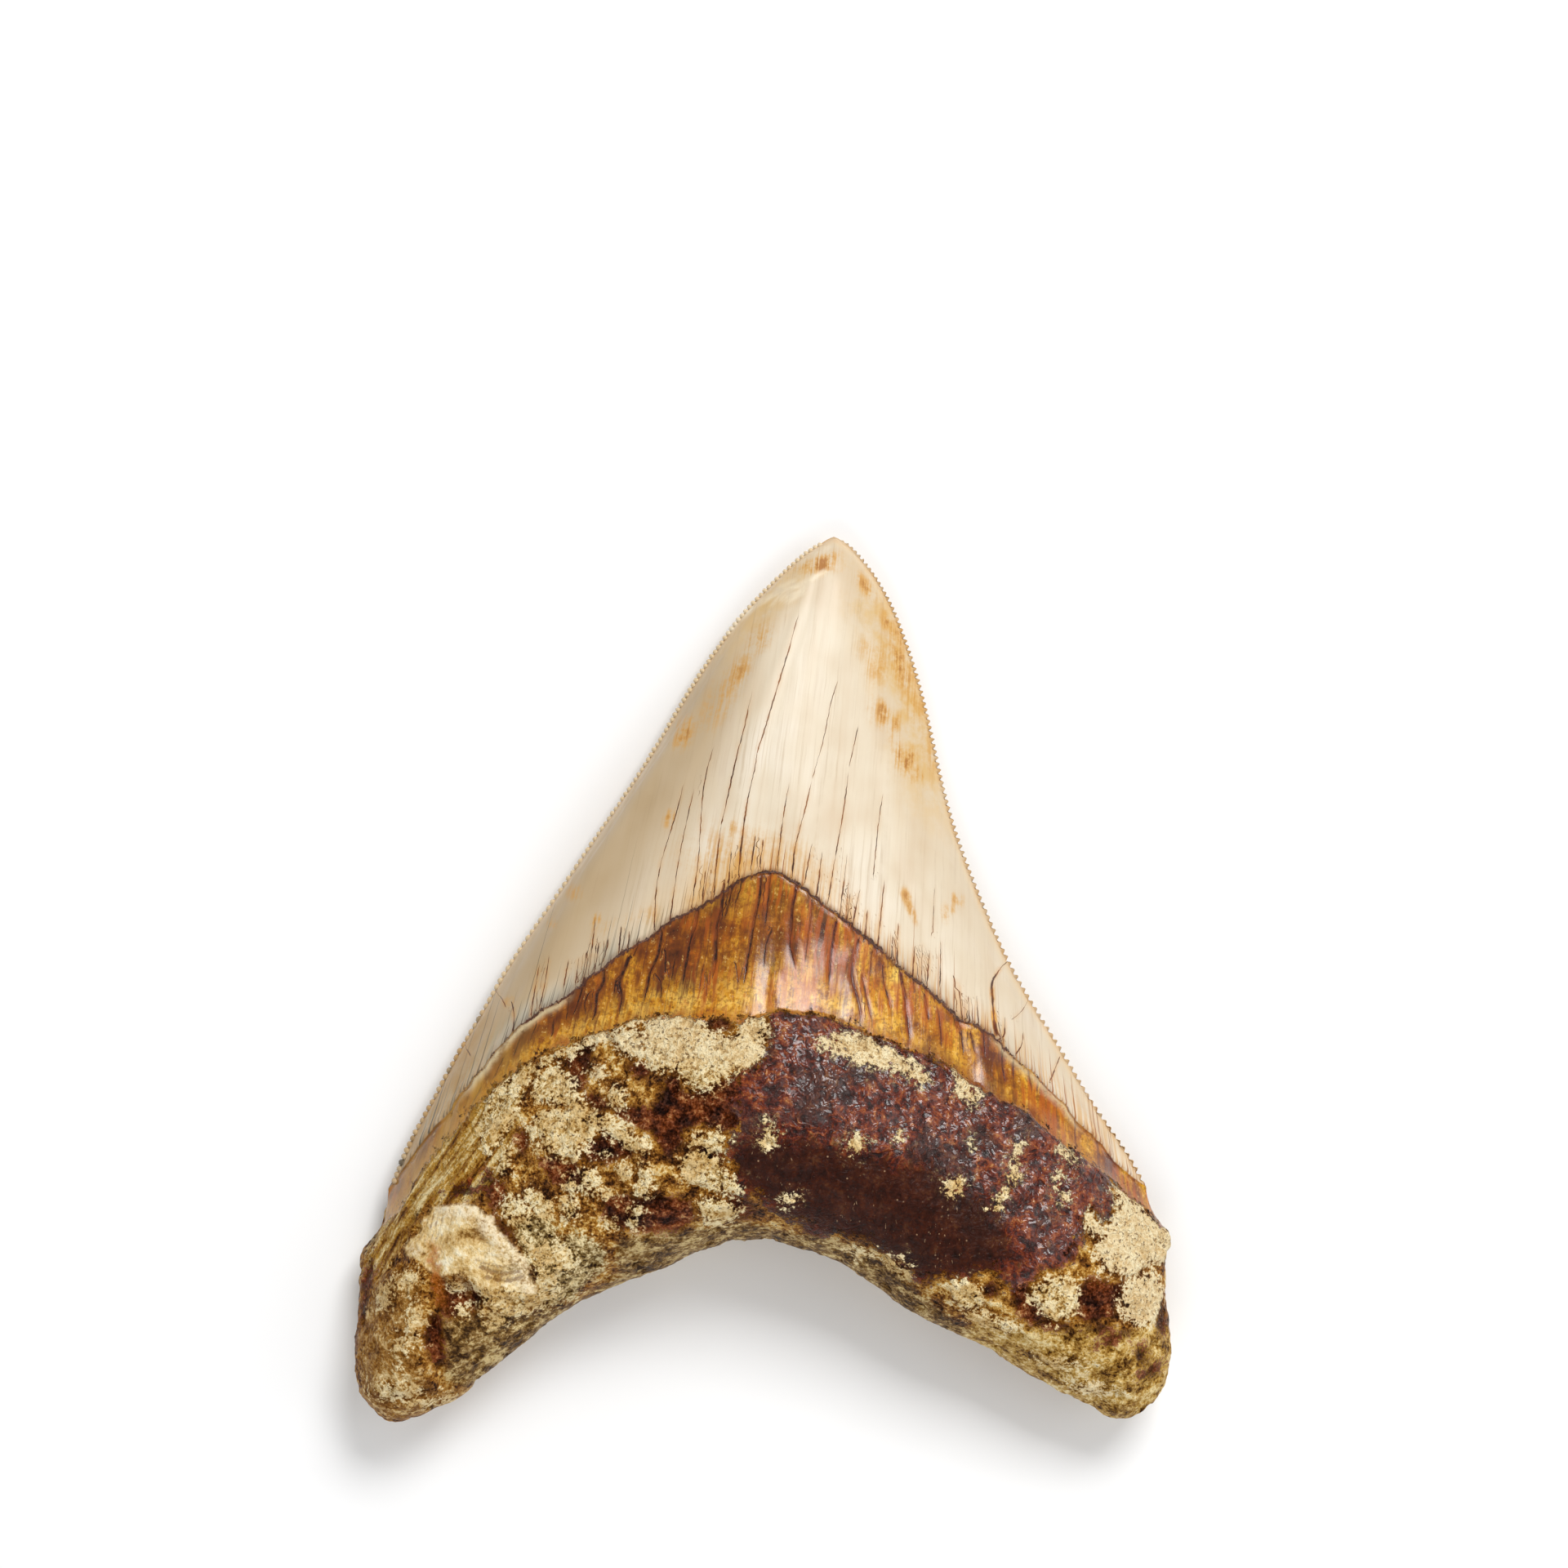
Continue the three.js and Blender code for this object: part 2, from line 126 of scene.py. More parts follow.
# ---------------------------------------------------------------- finer shape numbers
# Width of one serration along each cutting edge, from the shoulder to the tip: (share of the edge, mm).
SERRATION_LEFT = [(0, 0.83), (0.2, 0.97), (0.45, 0.93), (0.55, 0.77), (1, 0.72)]
SERRATION_RIGHT = [(0, 1.07), (0.25, 1.0), (0.45, 0.92), (0.7, 0.8), (1, 0.72)]
SERRATION_DEPTH = 0.5
NUB_STEP = 0.26
NUB_RISE = 0.65
NUB_LEAN = 0.18
EDGE_OFFSETS = [0, 0.1, 0.26, 0.48, 0.78, 1.15]
EDGE_SPLIT = 6  # fine rows to each coarse row, along the cutting edges
STEP_ROOT = 0.37
STEP_CROWN = 0.43
STEP_BOTTOM = 0.8


# ---------------------------------------------------------------- numbers
def smooth(a, b, x):
    x = np.clip((x - a) / (b - a), 0, 1)
    return x * x * (3 - 2 * x)


def lerp(a, b, w):
    return a + (b - a) * w


def natural(xs, ys, x):
    """Natural cubic spline through (xs, ys), at x. ys may hold several columns."""
    xs, ys = np.asarray(xs, float), np.asarray(ys, float)
    n = len(xs)
    h = np.diff(xs)
    a = np.eye(n)
    rhs = np.zeros(ys.shape)
    for i in range(1, n - 1):
        a[i, i - 1], a[i, i], a[i, i + 1] = h[i - 1], 2 * (h[i - 1] + h[i]), h[i]
        rhs[i] = 6 * ((ys[i + 1] - ys[i]) / h[i] - (ys[i] - ys[i - 1]) / h[i - 1])
    m = np.linalg.solve(a, rhs)
    x = np.asarray(x, float)
    i = np.clip(np.searchsorted(xs, x) - 1, 0, n - 2)
    p = (xs[i + 1] - x) / h[i]
    q = 1 - p
    if ys.ndim > 1:
        p, q, hh = p[..., None], q[..., None], h[i][..., None]
    else:
        hh = h[i]
    return p * ys[i] + q * ys[i + 1] + ((p**3 - p) * m[i] + (q**3 - q) * m[i + 1]) * hh**2 / 6


class Curve:
    """A smooth plan curve, walked by its share of arc length."""

    def __init__(self, points, scale=SCALE):
        p = np.array(points, float) * scale
        knots = np.concatenate([[0], np.cumsum(np.sqrt(np.hypot(*np.diff(p, axis=0).T)))])
        self.q = natural(knots, p, np.linspace(0, knots[-1], 6000))
        self.s = np.concatenate([[0], np.cumsum(np.hypot(*np.diff(self.q, axis=0).T))])
        self.length = self.s[-1]

    def __call__(self, w):
        w = np.clip(w, 0, 1) * self.length
        return np.stack([np.interp(w, self.s, self.q[:, 0]), np.interp(w, self.s, self.q[:, 1])], -1)

    def normal(self, w):
        e = 0.6 / self.length
        d = self(np.clip(w + e, 0, 1)) - self(np.clip(w - e, 0, 1))
        d /= np.hypot(d[..., 0], d[..., 1])[..., None]
        return np.stack([-d[..., 1], d[..., 0]], -1)


def hashed(ix, iy, iz, seed):
    h = (ix * 374761393 + iy * 668265263 + iz * 1103515245 + seed * 1274126177) & 0xFFFFFFFF
    h = ((h ^ (h >> 13)) * 1274126177) & 0xFFFFFFFF
    h = ((h ^ (h >> 15)) * 668265263) & 0xFFFFFFFF
    return h ^ (h >> 16)


def noise(p, size, seed):
    """Gradient noise of about -1 to 1 at points p in mm."""
    q = p / size
    i = np.floor(q).astype(np.int64)
    f = q - i
    w = f * f * f * (f * (f * 6 - 15) + 10)
    out = np.zeros(len(p))
    for c in range(8):
        dx, dy, dz = c & 1, (c >> 1) & 1, c >> 2
        h = hashed(i[:, 0] + dx, i[:, 1] + dy, i[:, 2] + dz, seed)
        g = np.stack([(h & 255) / 127.5 - 1, ((h >> 8) & 255) / 127.5 - 1, ((h >> 16) & 255) / 127.5 - 1], 1)
        v = (g * (f - [dx, dy, dz])).sum(1)
        wx = w[:, 0] if dx else 1 - w[:, 0]
        wy = w[:, 1] if dy else 1 - w[:, 1]
        wz = w[:, 2] if dz else 1 - w[:, 2]
        out += v * wx * wy * wz
    return out * 1.5


def fbm(p, size, octaves, seed, gain=0.5):
    out, amp, total = np.zeros(len(p)), 1.0, 0.0
    for k in range(octaves):
        out += amp * noise(p, size / 2**k, seed + k)
        total += amp
        amp *= gain
    return out / total


def cells(p, size, seed):
    """Distance in mm to the nearest and second nearest scattered point, and the nearest one's random number."""
    q = p / size
    i = np.floor(q).astype(np.int64)
    best = np.full(len(p), 9.0)
    second = np.full(len(p), 9.0)
    who = np.zeros(len(p))
    for dx in (-1, 0, 1):
        for dy in (-1, 0, 1):
            for dz in (-1, 0, 1):
                c = i + [dx, dy, dz]
                h = hashed(c[:, 0], c[:, 1], c[:, 2], seed)
                at = c + np.stack([(h & 1023) / 1023, ((h >> 10) & 1023) / 1023, ((h >> 20) & 1023) / 1023], 1)
                d = np.sqrt(((q - at) ** 2).sum(1))
                nearer = d < best
                second = np.where(nearer, best, np.minimum(second, d))
                who = np.where(nearer, (hashed(c[:, 0], c[:, 1], c[:, 2], seed + 91) & 4095) / 4095, who)
                best = np.where(nearer, d, best)
    return best * size, second * size, who


def random_of(k, seed):
    k = np.asarray(k).astype(np.int64)
    return (hashed(k, k * 0, k * 0, seed) & 0xFFFF) / 0xFFFF


# ---------------------------------------------------------------- plan
left_root, left_crown = Curve(LEFT_SIDE[: SHOULDER + 1]), Curve(LEFT_SIDE[SHOULDER:])
right_root, right_crown = Curve(RIGHT_SIDE[: SHOULDER + 1]), Curve(RIGHT_SIDE[SHOULDER:])
base, enamel_edge, neck_edge = Curve(BASE), Curve(ENAMEL_EDGE), Curve(NECK_EDGE)


def jag(s):
    """How far the enamel's lower edge wanders from its smooth line, in mm, at share s of its length."""
    x = s * enamel_edge.length
    p = np.stack([x, x * 0 + 7.3, x * 0 + 1.7], 1)
    return (0.32 * noise(p, 3.1, 5) + 0.2 * noise(p, 1.1, 6)) * smooth(0, 0.06, s) * smooth(1, 0.94, s)


def patch(u, w, left, right, low, high):
    s = ((u + 1) / 2)[:, None]
    w1 = w[:, None]
    p = (1 - w1) * low(s[:, 0]) + (1 - s) * left(w) + s * right(w)
    p -= (1 - s) * (1 - w1) * left(np.zeros(1)) + s * (1 - w1) * right(np.zeros(1))
    l1, r1 = left(np.ones(1)), right(np.ones(1))
    top = high(s[:, 0]) if high else l1
    return p + w1 * top - (1 - s) * w1 * l1 - s * w1 * r1


def plan(u, t):
    u, t = np.broadcast_arrays(np.asarray(u, float), np.asarray(t, float))
    u, t = u.ravel(), t.ravel()
    out = np.zeros((len(u), 2))
    c = t > 1
    if c.any():
        out[c] = patch(u[c], t[c] - 1, left_crown, right_crown, enamel_edge, None)
    r = ~c
    if r.any():
        out[r] = patch(u[r], t[r], left_root, right_root, base, enamel_edge)
    return out


# ---------------------------------------------------------------- rows and columns
root_rows = [0, 0.1, 0.25, 0.45, 0.7, 1.0, 1.33, 1.7, 2.1]
while root_rows[-1] < 44.6:
    root_rows.append(root_rows[-1] + 0.38)
root_rows = [x / 45.4 for x in root_rows] + [0.991, 0.9965, 1.0]
crown_rows = [1.003, 1.0075]
while crown_rows[-1] < 1.985:
    crown_rows.append(crown_rows[-1] + 0.0079)
crown_rows += [1.9905, 1.9945, 1.997, 1.9985]
coarse = root_rows + crown_rows
TIP_ROWS = 5  # the last rows before the tip have no fine rows between them

U, T, EDGE_D, SIDE = [], [], [], []  # one entry a vertex
TOP, BOTTOM, SHARED = 1, -1, 0


def add(u, t, d, side):
    U.append(u)
    T.append(t)
    EDGE_D.append(d)
    SIDE.append(side)
    return len(U) - 1


def row_scale(t):
    uu = np.concatenate([[-1, -0.998, -0.99, -0.97], np.linspace(-0.94, 0.94, 71), [0.97, 0.99, 0.998, 1]])
    seg = np.hypot(*np.diff(plan(uu, np.full(len(uu), t)), axis=0).T)
    return uu, np.concatenate([[0], np.cumsum(seg)])


def places(t, step):
    """Columns of a row: the offsets at its left edge, the inner ones, the offsets at its right edge (from outside in)."""
    uu, cum = row_scale(t)
    length = cum[-1]
    offs = np.array(EDGE_OFFSETS) * min(1, 0.3 * length / EDGE_OFFSETS[-1])
    n = max(2, int(round((length - 2 * offs[-1]) / step)))
    inner = np.linspace(offs[-1], length - offs[-1], n + 1)
    return np.interp(offs, cum, uu), np.interp(inner, cum, uu), np.interp(length - offs, cum, uu), offs


def build_line(t, whole, first):
    """One row of vertices on both faces. A face that isn't in whole gets only the edge columns, without the last one."""
    out = {}
    for side, step in ((TOP, STEP_ROOT if t <= 1 else STEP_CROWN), (BOTTOM, STEP_BOTTOM)):
        left, inner, right, offs = places(t, step)
        k = len(offs) - 1
        line = {"l": [], "m": [], "r": []}
        for name, us in (("l", left), ("r", right)):
            for j in range(k):
                if j == 0:
                    v = out[TOP][name][0] if side == BOTTOM else add(us[0], t, 0.0, SHARED)
                elif first and side == BOTTOM:
                    v = out[TOP][name][j]
                else:
                    v = add(us[j], t, offs[j], SHARED if first else side)
                line[name].append(v)
        if side in whole:
            if first and side == BOTTOM:
                line["m"], line["mu"] = out[TOP]["m"], out[TOP]["mu"]
            else:
                line["m"] = [add(u, t, 9.0, SHARED if first else side) for u in inner]
                line["mu"] = list(inner)
        out[side] = line
    return out


lines = []
for i, t in enumerate(coarse):
    last = i == len(coarse) - 1
    whole = (TOP, BOTTOM) if i % 2 == 0 or i >= len(coarse) - TIP_ROWS else (TOP,)
    lines.append((whole, t, build_line(t, whole, i == 0)))
    if t >= 1.0 and not last and i < len(coarse) - TIP_ROWS:
        t2 = coarse[i + 1]
        parts = EDGE_SPLIT if t2 - t > 0.006 else 2
        for k in range(1, parts):
            tf = t + (t2 - t) * k / parts
            lines.append(((), tf, build_line(tf, (), False)))
tip = add(0.0, 2.0, 0.0, SHARED)

faces = []


def face(a, b, c, up):
    if a != b and b != c and a != c:
        faces.append((a, b, c) if up else (a, c, b))


def zip_rows(a, ka, b, kb, up):
    """Triangles between two lists of vertices that run the same way, by their keys."""
    i = j = 0
    while i < len(a) - 1 or j < len(b) - 1:
        if j == len(b) - 1 or (i < len(a) - 1 and ka[i + 1] + ka[i] <= kb[j + 1] + kb[j]):
            face(a[i], a[i + 1], b[j], up)
            i += 1
        else:
            face(a[i], b[j + 1], b[j], up)
            j += 1


for side, up in ((TOP, True), (BOTTOM, False)):
    for (ka, ta, la), (kb, tb, lb) in zip(lines, lines[1:]):
        for j in range(len(EDGE_OFFSETS) - 2):
            a0, a1, b0, b1 = la[side]["l"][j], la[side]["l"][j + 1], lb[side]["l"][j], lb[side]["l"][j + 1]
            face(a0, a1, b1, up)
            face(a0, b1, b0, up)
            a0, a1, b0, b1 = la[side]["r"][j + 1], la[side]["r"][j], lb[side]["r"][j + 1], lb[side]["r"][j]
            face(a0, a1, b0, up)
            face(a1, b1, b0, up)
    whole_at = [i for i, x in enumerate(lines) if side in x[0]]
    for ia, ib in zip(whole_at, whole_at[1:]):
        la, lb = lines[ia][2][side], lines[ib][2][side]
        zip_rows(la["m"], la["mu"], lb["m"], lb["mu"], up)
        fine = list(range(ia, ib + 1))
        keys = [lines[i][1] for i in fine]
        ends = [lines[ia][1], lines[ib][1]]
        # seen from the other side the strip runs bottom to top, so its hand is turned
        zip_rows([lines[i][2][side]["l"][-1] for i in fine], keys, [la["m"][0], lb["m"][0]], ends, not up)
        zip_rows([lines[i][2][side]["r"][-1] for i in fine], keys, [la["m"][-1], lb["m"][-1]], ends, up)
    end = lines[-1][2][side]
    ring = end["l"] + end["m"] + end["r"][::-1]
    for a, b in zip(ring, ring[1:]):
        face(a, b, tip, up)

U, T, EDGE_D, SIDE = np.array(U), np.array(T), np.array(EDGE_D), np.array(SIDE)
faces = np.array(faces)
on_rim = SIDE == SHARED

# ---------------------------------------------------------------- smooth heights
xy = plan(U, T)
sides = [(c, np.linspace(0, 1, int(c.length / 0.05))) for c in (base, right_root, right_crown, left_crown, left_root)]
outline = np.concatenate([c(w) for c, w in sides])
outline_w = np.concatenate([w for c, w in sides])
outline_side = np.concatenate([np.full(len(w), i) for i, (c, w) in enumerate(sides)])
tree = KDTree(len(outline))
for i, (x, y) in enumerate(outline):
    tree.insert((x, y, 0), i)
tree.balance()
found = [tree.find((x, y, 0)) for x, y in xy]
rim = np.array([f[2] for f in found])
edge_at = np.array([f[1] for f in found])
rim[on_rim] = 0

across = natural(ACROSS, np.eye(len(ACROSS)), U)
along = natural(ALONG, np.eye(len(ALONG)), T)
rim_height = natural(RIM_ALONG, RIM_HEIGHT, T) + ARCH_RIM_EXTRA * np.maximum(0, 1 - T) ** 4 * np.maximum(0, 1 - U * U) ** 2
lingual = np.einsum("ni,ij,nj->n", along, np.array(LINGUAL_HEIGHT), across)
labial = np.einsum("ni,ij,nj->n", along, np.array(LABIAL_HEIGHT), across)
radius = lerp(ROOT_RIM_RADIUS, CROWN_RIM_RADIUS, smooth(0.55, 1.02, T))
rounding = np.sqrt(1 - (1 - np.minimum(1, rim / radius)) ** 2)
bulk = np.where(SIDE >= 0, lingual, labial)
z = rim_height + (bulk - rim_height) * rounding

# The V of the rows would crease the lingual face along its middle, so the ridge is rounded over.
s = np.linspace(0, 1, 2600)
apex_u = 2 * s[np.argmax(enamel_edge(s)[:, 1])] - 1
tt = np.linspace(0.2, 1.996, 500)
middle = natural(ALONG, np.array(LINGUAL_HEIGHT)[:, 4], tt)
fall = np.maximum(0, -np.gradient(middle, tt) / np.gradient(plan(np.full(500, apex_u), tt)[:, 1], tt))
bend = np.interp(T, tt, 0.64 * fall * np.minimum(tt, 1) * smooth(0.2, 0.6, tt))
row_length = np.interp(T, tt, [row_scale(t)[1][-1] for t in tt])
reach = np.minimum(6.5, 0.3 * row_length)
off_middle = np.abs(U - apex_u) * row_length / 2
z -= (SIDE > 0) * bend * smooth(1.995, 1.9, T) * np.maximum(0, reach - off_middle) ** 2 / (2 * reach + 1e-9)

# The enamel's edge wanders a little, and the surface near it goes along.
share = (U + 1) / 2
near_edge = np.exp(-(((T - 1) * 44 / 2.2) ** 2)) * (SIDE == TOP) * smooth(0, 2.0, rim)
xy = xy + enamel_edge.normal(share) * (jag(share) * near_edge)[:, None]

# Serrations.
for crown, table, sign in ((left_crown, SERRATION_LEFT, 1), (right_crown, SERRATION_RIGHT, -1)):
    mine = (T >= 1) & (rim < 1.6) & (outline_side[edge_at] == (3 if sign > 0 else 2))
    w = outline_w[edge_at[mine]]
    s = np.linspace(0, 1, 3000)
    pitch = np.interp(s, *zip(*table))
    phase = np.concatenate([[0], np.cumsum(crown.length / 3000 / pitch)])[:-1]
    f = np.interp(w, s, phase)
    k = np.floor(f)
    tooth = (0.5 - 0.5 * np.cos(2 * np.pi * f)) ** 0.75
    deep = SERRATION_DEPTH * (0.65 + 0.6 * random_of(k, 3 if sign > 0 else 4))
    worn = smooth(0, 0.02, w) * smooth(1, 0.975, w)
    d = rim[mine]
    if sign > 0:  # the rows run too near this edge's own direction to carry notches, so it steps back for the nubs below
        tooth, shift = np.ones(len(f)), np.full(len(f), -NUB_STEP)
    else:
        shift = (tooth - 0.8) * deep
    xy[mine] += crown.normal(w) * sign * (shift * worn * np.exp(-((d / 0.34) ** 2)))[:, None]
    z[mine] -= SIDE[mine] * (1 - tooth) * 0.16 * worn * np.exp(-(((d - 0.25) / 0.42) ** 2))

co = np.column_stack([xy, z])


def vertex_normals(co):
    a, b, c = co[faces[:, 0]], co[faces[:, 1]], co[faces[:, 2]]
    n = np.cross(b - a, c - a)
    out = np.zeros_like(co)
    for k in range(3):
        np.add.at(out, faces[:, k], n)
    return out / np.maximum(1e-12, np.sqrt((out**2).sum(1)))[:, None]


normals = vertex_normals(co)

# ---------------------------------------------------------------- regions
# Drawn places are in the drawing's own pixels, 0.106 mm each, from its top left corner.
PIXEL = 0.106
px = 935.5 + co[:, 0] / PIXEL
py = 1195 - co[:, 1] / PIXEL
q = np.column_stack([px, py])
top = SIDE >= 0


def signed_polygon(points):
    """Distance in mm to a closed outline, more than 0 inside."""
    pts = np.array(points, float)
    out = np.full(len(q), -8.0)
    near = np.where(top & (q > pts.min(0) - 75).all(1) & (q < pts.max(0) + 75).all(1))[0]
    qq = q[near]
    best = np.full(len(near), 1e9)
    inside = np.zeros(len(near), bool)
    for a, b in zip(pts, np.roll(pts, -1, axis=0)):
        ab = b - a
        w = np.clip(((qq - a) @ ab) / (ab @ ab), 0, 1)
        best = np.minimum(best, np.hypot(*(qq - a - w[:, None] * ab).T))
        if a[1] != b[1]:
            xi = a[0] + (qq[:, 1] - a[1]) / (b[1] - a[1]) * ab[0]
            inside ^= ((a[1] > qq[:, 1]) != (b[1] > qq[:, 1])) & (qq[:, 0] < xi)
    out[near] = np.where(inside, best, -best) * PIXEL
    return np.maximum(out, -8)


def signed_ellipse(x, y, rx, ry, turn=0):
    a = np.radians(turn)
    dx, dy = q[:, 0] - x, q[:, 1] - y
    ex, ey = dx * np.cos(a) + dy * np.sin(a), -dx * np.sin(a) + dy * np.cos(a)
    return np.where(top, np.maximum(-8, (1 - np.hypot(ex / rx, ey / ry)) * min(rx, ry) * PIXEL), -8)


def region(shapes):
    """Distance in mm to the nearest of several outlines (lists of places) and ellipses, more than 0 inside."""
    out = np.full(len(q), -8.0)
    for s in shapes:
        out = np.maximum(out, signed_polygon(s) if isinstance(s, list) else signed_ellipse(*s))
    return out


def along_line(points, reach):
    """1 on a line of drawn places, falling to 0 at reach pixels."""
    pts = np.array(points, float)
    best = np.full(len(q), 1e9)
    for a, b in zip(pts, pts[1:]):
        ab = b - a
        w = np.clip(((q - a) @ ab) / (ab @ ab), 0, 1)
        best = np.minimum(best, np.hypot(*(q - a - w[:, None] * ab).T))
    return np.clip(1 - best / reach, 0, 1) * top


def from_line(line_points, side_test):
    """Distance in mm to a line in plan, more than 0 where side_test holds."""
    near = KDTree(len(line_points))
    for i, (x, y) in enumerate(line_points):
        near.insert((x, y, 0), i)
    near.balance()
    d = np.array([near.find((x, y, 0))[2] for x, y in co[:, :2]])
    return np.where(side_test, d, -d)


s = np.linspace(0, 1, 2600)
line_points = enamel_edge(s) + enamel_edge.normal(s) * jag(s)[:, None]
enamel = from_line(line_points, T > 1)
enamel[T == 1.0] = 0
neck_line = neck_edge(np.linspace(0, 1, 2600))
neck_y = np.interp(co[:, 0], neck_line[:, 0], neck_line[:, 1])
neck = from_line(neck_line, co[:, 1] > neck_y) + 1.1 * fbm(co, 6, 3, 90) + 0.7 * fbm(co, 1.6, 2, 20)
# The labial face: the enamel reaches lower in the middle, and there is hardly a neck band.
lab_t = 1 - 0.40 * np.maximum(0, 1 - U * U) ** 1.1
lab_enamel = (T - lab_t) * 40
enamel = np.where(SIDE == BOTTOM, lab_enamel, enamel)
neck = np.where(SIDE == BOTTOM, lab_enamel + 1.6, neck)

